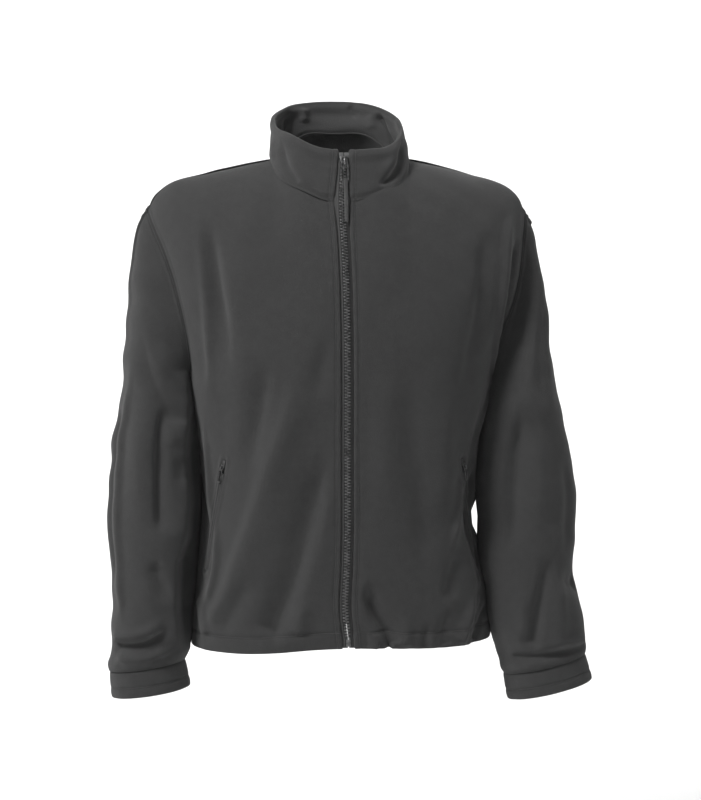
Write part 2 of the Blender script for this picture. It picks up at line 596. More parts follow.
def body_form(side, face, turn, level):
    """Points of the body. turn is 0 at the centre line and a right angle at the side seam; level runs from
    the hem (0) by the underarm (1) to the ridge (2)."""
    turn, level = np.broadcast_arrays(np.asarray(turn, float), np.asarray(level, float))
    half, depth, seam = body_section(side, face, level)
    edge = cloth_edge(face)
    x = side * (edge + (half - edge) * signed_power(np.sin(turn), 2 / SQUARENESS))
    ahead = seam + (face * depth - seam) * signed_power(np.cos(turn), 2 / SQUARENESS)
    low_z = mix(hem_height(x, side), UNDERARM_Z, level)
    rise = np.clip(level - 1, 0, 1) * math.pi / 2
    exponent = 2 / ARCH[FACE_NAME[face]]
    top_y = ridge_y(face, x)
    high_y = top_y + (ahead - top_y) * signed_power(np.cos(rise), exponent)
    high_z = mix(UNDERARM_Z, ridge_height(x, side), np.sin(rise) ** exponent)
    above = level > 1
    return points(x, np.where(above, high_y, ahead), np.where(above, high_z, low_z))


def body_normal(side, face, turn, level):
    step = 0.004
    turn, level = np.broadcast_arrays(np.asarray(turn, float), np.asarray(level, float))
    before = body_form(side, face, np.maximum(turn - step, 0), level)
    along = body_form(side, face, turn + step, level) - before
    above = body_form(side, face, turn, np.minimum(level + step, 2))
    below = body_form(side, face, turn, np.maximum(level - step, 0))
    return unit(np.cross(along, above - below)) * side * -face


def on_body(side, face, x, y):
    """Where points of the upper body with these x and y lie on the form."""
    edge, top_y = cloth_edge(face), ridge_y(face, x)
    level = np.full(np.shape(x), 1.5)
    turn = np.zeros(np.shape(x))
    for _ in range(12):
        half, depth, seam = body_section(side, face, level)
        across = np.maximum((np.abs(x) - edge) / (half - edge), 0)
        turn = np.arcsin(across ** (SQUARENESS / 2))
        ahead = seam + (face * depth - seam) * np.cos(turn) ** (2 / SQUARENESS)
        fall = np.clip((y - top_y) / (ahead - top_y), 0, 1)
        level = 1 + np.arccos(fall ** (ARCH[FACE_NAME[face]] / 2)) * 2 / math.pi
    return turn, level


def armhole(side, face, turn):
    """The armhole's place on the form, from the underarm (0) to the shoulder (half a turn)."""
    cut = ARMHOLE[SIDE_NAME[side]]
    swell = np.abs(np.sin(turn)) ** ARMHOLE["fullness"] * (1 + cut["skew"] * np.cos(turn))
    inset = math.radians(cut[FACE_NAME[face]]) * swell
    return math.pi / 2 - inset, 1 + (1 - np.cos(turn)) / 2


def both_faces(side, place_of, turn, ahead):
    """Points and normals of the front's form where ahead is true and of the back's elsewhere."""
    spots, ups = {}, {}
    for face in (FRONT, BACK):
        place = place_of(side, face, turn)
        spots[face], ups[face] = body_form(side, face, *place), body_normal(side, face, *place)
    return np.where(ahead, spots[FRONT], spots[BACK]), np.where(ahead, ups[FRONT], ups[BACK])


def neckline(side, face, turn):
    """The neck seam's place on the form, from the centre line (0) to the shoulder point (a right angle)."""
    edge = cloth_edge(face)
    x = side * (edge + (NECK["half_width"] - edge) * np.sin(turn))
    ahead = np.maximum(np.cos(turn), 0)
    y = NECK["front_y"] * ahead ** NECK["front_drop"] if face == FRONT else NECK["back_y"] * ahead
    return on_body(side, face, x, y)


def panel_place(side, face, u, v):
    """Where a panel's cloth lies on the form: u runs from the centre line out, v from the hem up."""
    neck_at, underarm_at = PANEL["neck_at"], PANEL["underarm_at"]
    corner_turn, _ = neckline(side, face, np.array(math.pi / 2))
    neck_turn, neck_level = neckline(side, face, np.minimum(u / neck_at, 1) * math.pi / 2)
    shoulder_turn = mix(corner_turn, math.pi / 2, np.clip((u - neck_at) / (1 - neck_at), 0, 1))
    top_turn = np.where(u <= neck_at, neck_turn, shoulder_turn)
    top_level = np.where(u <= neck_at, neck_level, 2.0)
    hole = np.clip((v - underarm_at) / (1 - underarm_at), 0, 1) * math.pi
    hole_turn, hole_level = armhole(side, face, hole)
    side_turn = np.where(v <= underarm_at, math.pi / 2, hole_turn)
    side_level = np.where(v <= underarm_at, v / underarm_at, hole_level)
    pull = u**3
    turn = mix(u * math.pi / 2, top_turn, v) + pull * (side_turn - math.pi / 2)
    level = v * top_level + pull * (side_level - 2 * v)
    return np.clip(turn, 0, math.pi / 2), np.clip(level, 0, 2)


def panel_base(side, face, us, vs):
    u, v = np.meshgrid(us, vs)
    return body_form(side, face, *panel_place(side, face, u, v))


# ---- cloth: creases, edges, thickness
def grid_normals(grid, tube=False, inside=None):
    """Unit normals of a grid of points, turned to face away from a point inside."""
    if tube:
        wide = np.concatenate([grid[:, -1:], grid, grid[:, :1]], axis=1)
        across = wide[:, 2:] - wide[:, :-2]
    else:
        across = np.gradient(grid, axis=1)
    down = np.gradient(grid, axis=0)
    normals = unit(np.cross(across, down))
    middle = grid[len(grid) // 2, grid.shape[1] // 2]
    inside = grid[len(grid) // 2].mean(axis=0) if inside is None else np.asarray(inside, float)
    outwards = np.dot(normals[len(grid) // 2, grid.shape[1] // 2], middle - inside) > 0
    return normals if outwards else -normals


def crease_lift(at, normals, creases):
    """How far the creases, laid on the cloth as lines of points, raise each point."""
    flat, facing = at.reshape(-1, 3), normals.reshape(-1, 3)
    lift = np.zeros(len(flat))
    for line, height, width, lean, (start, end) in creases:
        reach = CREASE_REACH * width
        near = np.all((flat > line.min(0) - reach) & (flat < line.max(0) + reach), axis=1)
        if not near.any():
            continue
        away, share, hand = nearest(flat[near], line, facing[near])
        height = height * smooth(share, 0, start) * smooth(1 - share, 0, end)
        lift[near] += height * np.exp(-((away / (width * (1 + lean * hand))) ** 2) * CREASE_FALL)
    return lift.reshape(at.shape[:-1])


def undulation(at, seed, sizes, height):
    """A slow, uneven rise and fall of the cloth, from waves in seeded directions."""
    random = np.random.default_rng(seed)
    total = np.zeros(at.shape[:-1])
    for _ in range(WAVES):
        wave = random.normal(size=3) / np.asarray(sizes, float)
        total += np.sin(at @ wave * 2 * math.pi * 0.55 + random.uniform(0, 2 * math.pi))
    return height * total / math.sqrt(WAVES)


def made_uneven(lift, at, kind, *seeds):
    """The lift with a cloth's own undulations added."""
    for seed, (sizes, height) in zip(seeds, UNEVEN[kind]):
        lift = lift + undulation(at, seed, sizes, height)
    return lift


def distance_along(grid, axis, from_end=False):
    """Distance of each point of a grid from one of its borders, along its rows or columns."""
    work = np.flip(grid, axis) if from_end else grid
    steps = np.linalg.norm(np.diff(work, axis=axis), axis=-1)
    zero = np.zeros_like(np.take(steps, [0], axis=axis))
    total = np.concatenate([zero, np.cumsum(steps, axis=axis)], axis=axis)
    return np.flip(total, axis) if from_end else total


def groove(distance, at, width, depth):
    """The hollow that a row of stitches pulls into soft cloth at a distance from an edge."""
    return -depth * bell(distance - at, width)


def rolled(outer, inner, marks, tube):
    """Both faces of a cloth with its borders rounded over: rows, and columns too if it isn't a tube."""
    angles = np.radians(ROLL)

    def grown(grid, rows, axis, end):
        parts = [np.stack(rows, axis), grid]
        return np.concatenate(parts if end == 0 else parts[::-1], axis=axis)

    for axis in (0,) if tube else (0, 1):
        for end in (0, -1):
            top, under = np.take(outer, end, axis), np.take(inner, end, axis)
            before = np.take(outer, 1 if end == 0 else -2, axis)
            middle, half = (top + under) / 2, (top - under) / 2
            radius = np.linalg.norm(half, axis=-1, keepdims=True)
            away = top - before
            away = unit(away - half * dot(away, half) / np.maximum(radius**2, 1e-9))
            outs = [middle + half * math.cos(a) + away * radius * math.sin(a) for a in angles]
            ins = [middle - half * math.cos(a) + away * radius * math.sin(a) for a in angles]
            if end == 0:
                outs, ins = outs[::-1], ins[::-1]
            outer, inner = grown(outer, outs, axis, end), grown(inner, ins, axis, end)
            for name, values in marks.items():
                marks[name] = grown(values, [np.take(values, end, axis)] * len(angles), axis, end)
    return outer, inner, marks


def cloth_mesh(name, outer, inner, marks, tube=False):
    """A closed shell of cloth from its two faces. marks are named values at the outer face's points."""
    outer, inner, marks = rolled(outer, inner, dict(marks), tube)
    rows, columns = outer.shape[:2]
    at = np.arange(rows * columns).reshape(rows, columns)
    if tube:
        at = np.concatenate([at, at[:, :1]], axis=1)
    under = at + rows * columns
    quads = [
        (at[:-1, :-1], at[:-1, 1:], at[1:, 1:], at[1:, :-1]),
        (under[:-1, :-1], under[1:, :-1], under[1:, 1:], under[:-1, 1:]),
        (at[0, :-1], under[0, :-1], under[0, 1:], at[0, 1:]),
        (at[-1, :-1], at[-1, 1:], under[-1, 1:], under[-1, :-1]),
    ]
    if not tube:
        quads.append((at[:-1, 0], at[1:, 0], under[1:, 0], under[:-1, 0]))
        quads.append((at[:-1, -1], under[:-1, -1], under[1:, -1], at[1:, -1]))
    faces = np.concatenate([np.stack(corners, -1).reshape(-1, 4) for corners in quads])
    spots = np.concatenate([outer.reshape(-1, 3), inner.reshape(-1, 3)])
    a, b, c, d = (spots[faces[:, k]] for k in range(4))
    volume = np.sum(a * np.cross(b, c)) + np.sum(a * np.cross(c, d))
    if volume < 0:
        faces = faces[:, ::-1]
    piece = plain_mesh(name, spots, faces)
    border = np.ones((rows, columns))
    border[len(ROLL) + 1 : -len(ROLL) - 1] = 0
    on_faces = {name: (values, values * border) for name, values in marks.items()}
    on_faces["inside"] = (0 * border, 1 - border)
    for mark, both in on_faces.items():
        attribute = piece.data.attributes.new(mark, "FLOAT", "POINT")
        attribute.data.foreach_set("value", np.concatenate(both).ravel().astype(np.float32))
    return piece


def plain_mesh(name, spots, faces):
    """An object from points in millimetres and faces."""
    mesh = bpy.data.meshes.new(name)
    faces = faces.tolist() if isinstance(faces, np.ndarray) else faces
    mesh.from_pydata((np.asarray(spots) * MM).tolist(), [], faces)
    mesh.shade_smooth()
    return shown(name, mesh)


def finish_piece(piece, body, slot, material, replaces=()):
    """Gives a piece its material and its place among the frame's bodies."""
    piece.data.materials.clear()
    piece.data.materials.append(material)
    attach(piece, body)
    if replaces:
        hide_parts(*replaces)
    return piece


# ---- where creases and seams lie
def on_face(side, face, x, z):
    """Where points of a body face with this x and z lie on the form."""
    ridge = ridge_height(x, side)
    low = (z - hem_height(x, side)) / (UNDERARM_Z - hem_height(x, side))
    rise = np.clip((z - UNDERARM_Z) / (ridge - UNDERARM_Z), 0, 1) ** (ARCH[FACE_NAME[face]] / 2)
    level = np.clip(np.where(z <= UNDERARM_Z, low, 1 + np.arcsin(rise) * 2 / math.pi), 0, 2)
    edge = cloth_edge(face)
    half = read(BODY, "level", level, SIDE_NAME[side])
    across = np.clip((np.abs(x) - edge) / (half - edge), 0, 1)
    return np.arcsin(across ** (SQUARENESS / 2)), level


def traced(creases, place):
    """The creases with their paths laid on the cloth: place turns the two numbers of a path into points."""
    laid = []
    for height, width, lean, fade, *path in creases:
        line = place(*curve_through(path, CREASE_POINTS).T)
        apart = np.linalg.norm(np.diff(line, axis=0), axis=1) > 0.01
        laid.append((line[np.concatenate([[True], apart])], height, width, lean, fade))
    return laid


def body_creases():
    """The creases of the fronts and the back, each laid on its own face."""
    def place(face):
        def at(x, z):
            both = {s: body_form(s, face, *on_face(s, face, x, z)) for s in (RIGHT, LEFT)}
            return np.where((x < 0)[:, None], both[RIGHT], both[LEFT])
        return at
    return traced(FRONT_CREASES, place(FRONT)) + traced(BACK_CREASES, place(BACK))


def sleeve_creases(side, grid, turns):
    """A sleeve's creases, laid on its own grid of points."""
    def place(face):
        def at(out, z):
            wanted = np.arccos(np.clip(-out, -1, 1))
            wanted = np.where(face == FRONT, wanted, 2 * math.pi - wanted)
            spots = []
            for turn, height in zip(wanted, z):
                at = turn / (2 * math.pi) * len(turns)
                before = int(at) % len(turns)
                column = mix(grid[:, before], grid[:, (before + 1) % len(turns)], at - int(at))
                order = np.argsort(column[:, 2])
                spots.append([np.interp(height, column[order, 2], column[order, k]) for k in range(3)])
            return np.array(spots)
        return at
    name = SIDE_NAME[side]
    front = traced(SLEEVE_CREASES[name, FRONT], place(FRONT))
    return front + traced(SLEEVE_CREASES[name, BACK], place(BACK))


def seam_line(grid, normals, distance, at, axis=0):
    """The points and normals of a grid that lie at a distance from one of its borders. axis is the one that
    the line runs along."""
    work, facing, away = (values.swapaxes(0, axis) for values in (grid, normals, distance))
    spots, ups = [], []
    for row, up, far in zip(work, facing, away):
        order = np.argsort(far)
        if far[order[-1]] < at:
            continue
        spots.append([np.interp(at, far[order], row[order, k]) for k in range(3)])
        ups.append([np.interp(at, far[order], up[order, k]) for k in range(3)])
    return np.array(spots), unit(np.array(ups))


def puckers(distance, along, at, reach, height, seed):
    """Small uneven tucks that a row of stitches draws up across a seam."""
    random = np.random.default_rng(seed)
    wave = sum(np.sin(2 * math.pi * along / pitch + random.uniform(0, 6.3)) for pitch in PUCKER_PITCHES) / 2.2
    return height * wave * bell(distance - at, reach)


def sway(spots):
    """Points of the fronts, the collar and the zip, moved across with the zip's own wander."""
    x, z = spots[..., 0], spots[..., 2]
    heights, offs = columns_of(ZIP_SWAY)
    off = sum(np.interp(z + step, heights, offs) for step in (-12, -6, 0, 6, 12)) / 5
    out = np.abs(x)
    off = off * (1 - smooth(out, *ZIP_SWAY_FADE))
    parting = PARTING["by"] * bell(z - PARTING["z"], PARTING["spread"])
    off = off + np.sign(x) * parting * smooth(out, *PARTING["opens"]) * (1 - smooth(out, *PARTING["closes"]))
    return moved(spots, 0, off)


STITCHES = []  # rows of stitches to sew, as (name, points, normals)


def sew(name, line):
    """Notes a row of stitches, to be sewn when all the cloth is there."""
    STITCHES.append((name, *line))


# ---- fronts and back
def pocket_line(side, share):
    """Points and normals of the side pocket's zip, from its lower end (0) to its upper end (1)."""
    share = np.asarray(share, float)
    x = mix(POCKET["bottom_x"], POCKET["top_x"], share)
    z = mix(POCKET["bottom_z"], POCKET["top_z"], share)
    turn, level = on_face(side, FRONT, side * x, z)
    return body_form(side, FRONT, turn, level), body_normal(side, FRONT, turn, level)


def hem_gathers(at, hem):
    """The short tucks that the cord in the hem draws up, stronger on the wearer's left."""
    x = at[..., 0]
    wave = np.sin(x / 3.6 + 1.1 * np.sin(x / 19)) + 0.7 * np.sin(x / 6.1 + 2)
    strength = mix(GATHERS["right"], 1, smooth(x, GATHERS["left_from"], GATHERS["left_to"]))
    return GATHERS["height"] * wave * strength * bell(hem - GATHERS["above_hem"], GATHERS["spread"])


def body_lift(grid, normals, creases, hem, side_edge, seed):
    """How far the cloth of a front or of the back stands off the form: creases, side seam and hem."""
    lift = made_uneven(crease_lift(grid, normals, creases), grid, "body", seed, seed + 1)
    lift = lift * mix(0.35, 1, smooth(side_edge, 0, 14))
    lift = lift + hem_gathers(grid, hem)
    plump = np.sqrt(np.clip(hem / HEM["turn"] * (1 - hem / HEM["turn"]) * 4, 0, 1))
    return lift + 1.1 * plump + groove(hem, HEM["turn"], 1.9, 1.5)


def beside_sleeve(grid):
    """How far the cloth at the sides fills out towards the sleeves, which rest against it."""
    x, z = grid[..., 0], grid[..., 2]
    total = np.zeros(x.shape)
    for side, rows in SIDE_FILL.items():
        push = np.interp(z, *columns_of(rows)) * smooth(z, *FILL_FADE["top"]) * smooth(z, *FILL_FADE["hem"])
        total += side * push * smooth(side * x, *FILL_FADE["across"])
    return moved(grid, 0, total)


def dropped_back(spots, side, side_edge=100.0):
    """The cloth at the side, lying further back than the front of the jacket beyond a long soft fold."""
    x, z = side * spots[..., 0], spots[..., 2]
    heights, starts, depths = columns_of(SIDE_DROP[side])
    drop = np.interp(z, heights, depths) * smooth(x - np.interp(z, heights, starts), *DROP_FOLD)
    ahead = np.clip((DROP_WHOLE["from_y"] - spots[..., 1]) / DROP_WHOLE["over"], 0, 1)
    drop = drop * smooth(side_edge, *DROP_SEAM_FADE) * ahead
    return moved(spots, 1, drop)


def body_inner(outer, normals, hem):
    """The inner face of the body's cloth, which is turned up double at the hem."""
    doubled = 1 - smooth(hem, HEM["turn"] - 1.5, HEM["turn"] + 1)
    return outer - normals * (CLOTH * (1 + (HEM["layers"] - 1) * doubled))[..., None]


def side_lap(vs, side_edge):
    """The body's cloth stands proud where it laps over a sleeve, and its side seam below is drawn in."""
    lap = np.broadcast_to((vs > PANEL["underarm_at"])[:, None], side_edge.shape)
    return np.where(lap, 0.9 * (1 - smooth(side_edge, 1, 7)), -1.3 * bell(side_edge, 3))


def spaced(count, ease):
    """Shares from 0 to 1 that lie closer together near both ends."""
    t = np.linspace(0, 1, count)
    return mix(t, 0.5 - 0.5 * np.cos(math.pi * t), ease)


def cloth_marks(seams, wear):
    """Where the cloth is drawn in and darker, and where it is rubbed."""
    return {"seam": np.maximum.reduce(seams), "wear": np.maximum.reduce(wear)}


def front(side, creases):
    """A front: its folded edge, its hem, its armhole and the two lips beside its pocket's zip."""
    us, vs = (spaced(count, 0.35) for count in FRONT_GRID)
    grid = panel_base(side, FRONT, us, vs)
    normals = grid_normals(grid, inside=INSIDE)
    edge, hem = distance_along(grid, 1), distance_along(grid, 0)
    outer_edge, top = distance_along(grid, 1, True), distance_along(grid, 0, True)
    lift = body_lift(grid, normals, creases, hem, outer_edge, 11 + side) * smooth(edge, 1, 30)
    lift = lift + 0.7 * bell(edge - 2.4, 2.2) + groove(edge, FRONT_STITCH, 1.3, 0.9)
    lift = lift + puckers(edge, hem, FRONT_STITCH + 2, 5, 0.32, 5)
    lift = lift + side_lap(vs, outer_edge)
    lift = lift + groove(top, 0, 3, 0.7)
    pocket, _ = pocket_line(side, np.linspace(0, 1, 16))
    away = nearest(grid.reshape(-1, 3), pocket)[0].reshape(edge.shape)
    lip = POCKET_LIP
    welt = lip["height"] * bell(away - lip["centre"], lip["spread"])
    lift = lift * smooth(away, 2, 16) + welt - lip["depth"] * (1 - smooth(away, 1.5, 4.2))
    outer = dropped_back(sway(beside_sleeve(grid + normals * lift[..., None])), side, outer_edge)
    marks = cloth_marks(
        [
            bell(edge - FRONT_STITCH, 1.5), bell(hem - HEM["turn"], 1.8), bell(outer_edge, 3),
            0.8 * bell(top, 3),
        ],
        [bell(edge, 2), bell(hem, 3), 0.6 * welt / lip["height"]],
    )
    facing = grid_normals(outer, inside=INSIDE)
    name = SIDE_NAME[side]
    sew("front_stitches_" + name, seam_line(outer, facing, edge, FRONT_STITCH))
    sew("hem_stitches_" + name, seam_line(outer, facing, hem, HEM["turn"], 1))
    return cloth_mesh("front_cloth_" + name, outer, body_inner(outer, normals, hem), marks)


def back(creases):
    """The back in one piece, laid over the fronts' edges along the shoulders."""
    us, vs = spaced(BACK_GRID[0], 0.3), spaced(BACK_GRID[1], 0.35)
    halves = {side: panel_base(side, BACK, us, vs) for side in (RIGHT, LEFT)}
    grid = np.concatenate([halves[RIGHT][:, ::-1], halves[LEFT][:, 1:]], axis=1)
    normals = grid_normals(grid, inside=INSIDE)
    hem, top = distance_along(grid, 0), distance_along(grid, 0, True)
    side_edge = np.minimum(distance_along(grid, 1), distance_along(grid, 1, True))
    lift = body_lift(grid, normals, creases, hem, side_edge, 31)
    lift = lift + side_lap(vs, side_edge)
    shoulder = smooth(np.abs(grid[..., 0]), NECK["half_width"] - 6, NECK["half_width"] + 6)
    lift = lift + 0.9 * shoulder * bell(top, 6) + groove(top, SHOULDER_STITCH, 1.4, 0.9) * shoulder
    outer = beside_sleeve(grid + normals * lift[..., None])
    seams = [bell(hem - HEM["turn"], 1.8), bell(side_edge, 3), bell(top - SHOULDER_STITCH, 2)]
    facing = grid_normals(outer, inside=INSIDE)
    sew("hem_stitches_back", seam_line(outer, facing, hem, HEM["turn"], 1))
    line, ups = seam_line(outer, facing, top, SHOULDER_STITCH, 1)
    for side in (RIGHT, LEFT):
        over = side * line[:, 0] > NECK["half_width"]
        sew("shoulder_stitches_" + SIDE_NAME[side], (line[over], ups[over]))
    marks = cloth_marks(seams, [bell(hem, 3)])
    return cloth_mesh("back_cloth", outer, body_inner(outer, normals, hem), marks)


# ---- sleeves and cuffs
def section_point(side, section, turn, grow=0):
    """Points round a sleeve's cross-section, from its inner side by the front."""
    lean = math.radians(section["lean"])
    across = -(section["wide"] + grow) * np.cos(turn)
    return points(
        side * (section["x"] + across * math.cos(lean)),
        section["y"] - (section["deep"] + grow) * np.sin(turn),
        section["z"] + across * math.sin(lean),
    )


def sleeve_base(side):
    """A sleeve's outer face without creases, from its seam allowance under the armhole to the cuff seam."""
    turn = SLEEVE_TURNS
    local = np.where(turn <= math.pi, turn, 2 * math.pi - turn)
    hole, up = both_faces(side, armhole, local, (turn <= math.pi)[:, None])
    sideways = mix(CAP["underarm"], CAP["middle"], smooth(local, 0, 0.9))
    dip = np.radians(mix(sideways, CAP["shoulder"], smooth(local, 1.6, math.pi)))
    away = points(side * np.cos(dip), np.zeros_like(dip), np.sin(dip))
    start = hole - up * CAP["under"] + away * 0.5
    sections = [section_point(side, section, turn) for section in SLEEVE[SIDE_NAME[side]]]
    first, second = sections[0], sections[1]
    reach = np.linalg.norm(first - start, axis=1, keepdims=True)
    pull = np.minimum(CAP["pull"] * reach, CAP["most_pull"])
    down = unit(second - first)
    t = spaced(CAP_ROWS, 0.2)[:-1, None, None]
    cap = (
        (2 * t**3 - 3 * t**2 + 1) * start + (t**3 - 2 * t**2 + t) * away * pull
        + (3 * t**2 - 2 * t**3) * first + (t**3 - t**2) * down * pull
    )
    stations = np.stack(sections)
    arm = np.stack([curve_through(stations[:, j], ARM_ROWS) for j in range(len(turn))], axis=1)
    reach = CAP["allowance"]
    allowance = np.stack([start - away * reach - up, start - away * (reach / 2) - up * 0.4])
    return np.concatenate([allowance, cap, arm])


def against_body(side, z):
    """How far a sleeve's inner side swells to rest against the body, by height and round the sleeve."""
    heights, inner, ahead = columns_of(ARM_FILL[side])
    turn = (SLEEVE_TURNS + math.pi) % (2 * math.pi) - math.pi
    swell = bell(turn, ARM_INNER_REACH)[None, :] * np.interp(z, heights, inner)
    return swell + bell(turn - ARM_AHEAD_AT, ARM_AHEAD_REACH)[None, :] * np.interp(z, heights, ahead)


def hollowed(outer):
    """The right sleeve's cloth beside the body, sunk back behind the front of the arm."""
    heights, starts, depths = columns_of(ARM_HOLLOW)
    x, y, z = (outer[..., k] for k in range(3))
    sink = np.interp(z, heights, depths) * smooth(np.interp(z, heights, starts) + x, *HOLLOW_FOLD)
    ahead = np.mean(y, axis=1, keepdims=True) + HOLLOW_LEVEL - y
    return moved(outer, 1, sink * smooth(ahead, *HOLLOW_WHOLE))


def round_seam(outer, distance, at):
    """A stitch line round a tube of cloth, at a distance from one of its ends."""
    line = seam_line(outer, grid_normals(outer, tube=True), distance, at, 1)
    return [np.vstack([values, values[:1]]) for values in line]


def sleeve(side):
    """A sleeve with its ridge along the armhole, its creases and its seam on the inner side."""
    grid = sleeve_base(side)
    normals = grid_normals(grid, tube=True)
    creases = sleeve_creases(side, grid, SLEEVE_TURNS)
    lift = made_uneven(crease_lift(grid, normals, creases), grid, "sleeve", 51 + side, 57 + side)
    inner_side = 0.5 + 0.5 * np.cos(SLEEVE_TURNS)[None, :]
    lift = np.where(lift > 0, lift * mix(1, 0.15, smooth(inner_side, 0.55, 0.95)), lift)
    lift = lift + against_body(side, grid[..., 2])
    start, end = distance_along(grid, 0) - CAP["allowance"], distance_along(grid, 0, True)
    lift = lift * smooth(start, 0, 26) * mix(0.4, 1, smooth(end, 0, 16))
    shoulder = smooth(-np.cos(SLEEVE_TURNS)[None, :], -0.85, -0.4)
    ridge = 1.3 * bell(start - 9.5, 2.8) + groove(start, 5.8, 1.4, 0.5)
    ridge = ridge + 1.6 * bell(start - 3, 2.4)
    lift = lift + ridge * shoulder
    lift = lift + 1.8 * bell(end - 9, 7) - 0.8 * bell(end, 2.5)
    girth = np.linalg.norm(grid - grid[:, :1], axis=-1)
    lift = lift - bell(girth, 2.8)
    outer = grid + normals * lift[..., None]
    if side == RIGHT:
        outer = hollowed(outer)
    seams = [bell(start - 5.5, 2.4), bell(end, 2.5), bell(girth, 2.8)]
    marks = cloth_marks(seams, [0.7 * bell(end - 9, 6)])
    sew("armhole_stitches_" + SIDE_NAME[side], round_seam(outer, start, ARMHOLE_STITCH))
    return cloth_mesh("sleeve_cloth_" + SIDE_NAME[side], outer, outer - normals * CLOTH, marks, tube=True)


def cuff(side):
    """The plain band that is sewn to a sleeve's end and gathers it a little."""
    last = SLEEVE[SIDE_NAME[side]][-1]
    lean = math.radians(last["lean"])
    axis = np.array([side * math.sin(lean), 0, -math.cos(lean)])
    shares = spaced(CUFF_ROWS, 0.3)
    grid = np.stack([
        section_point(side, last, SLEEVE_TURNS, mix(CUFF["top_grow"], CUFF["mouth_grow"], share))
        + axis * mix(0.6, CUFF["height"], share)
        for share in shares
    ])
    normals = grid_normals(grid, tube=True)
    up, low = distance_along(grid, 0), distance_along(grid, 0, True)
    random = np.random.default_rng(71 + side)
    wave = sum(
        np.sin(k * SLEEVE_TURNS + random.uniform(0, 6.3)) / k**0.5 for k in (2, 3, 5, 9, 14)
    )[None, :]
    lift = 0.45 * wave * smooth(up, 0, 14) + 0.6 * np.sin(math.pi * shares)[:, None]
    lift = lift + groove(low, CUFF_STITCH, 1.6, 0.9) + 0.5 * bell(low - 4, 4) - bell(up, 2.5)
    outer = grid + normals * lift[..., None]
    marks = cloth_marks([bell(low - CUFF_STITCH, 1.6), bell(up, 2.5)], [bell(low, 4)])
    sew("cuff_stitches_" + SIDE_NAME[side], round_seam(outer, low, CUFF_STITCH))
    inner = outer - normals * CUFF["thickness"]
    return cloth_mesh("cuff_cloth_" + SIDE_NAME[side], outer, inner, marks, tube=True)


# ---- collar
def neck_seam(side, part):
    """Points and normals of the body along the neck, from the centre front (0) to the centre back (1)."""
    part = np.asarray(part, float)
    turn = np.where(part <= 0.5, part, 1 - part) * math.pi
    return both_faces(side, neckline, turn, (part <= 0.5)[..., None])


def collar_form(side, part, ups):
    """The collar's middle surface from the neck seam (up 0) to the rim (1); part runs from the centre front
    (0) to the centre back (1)."""
    part = np.asarray(part, float)
    step = 0.004
    base, normal = neck_seam(side, part)
    along = neck_seam(side, np.minimum(part + step, 1))[0] - neck_seam(side, np.maximum(part - step, 0))[0]
    inwards = unit(np.cross(along, normal))
    wrong = dot(inwards, np.array([0, 0, COLLAR["inside_z"]]) - base) < 0
    base = base + (normal + np.where(wrong, -inwards, inwards)) * 0.7
    turn = part * math.pi
    across = np.abs(np.sin(turn)) ** (2 / COLLAR["rim_squareness"])
    edge = EDGE_X * np.maximum(np.cos(turn), 0)
    tilt = (1 - signed_power(np.cos(turn), 2 / COLLAR["rim_squareness"])) / 2
    rim = points(
        side * (edge + (COLLAR["rim_half_width"] - edge) * across) + COLLAR["rim_shift"] * across,
        mix(COLLAR["rim_front_y"], COLLAR["rim_back_y"], tilt),
        mix(COLLAR["rim_front_z"], COLLAR["rim_back_z"], tilt),
    )
    return np.stack([mix(base, rim, up) for up in ups])


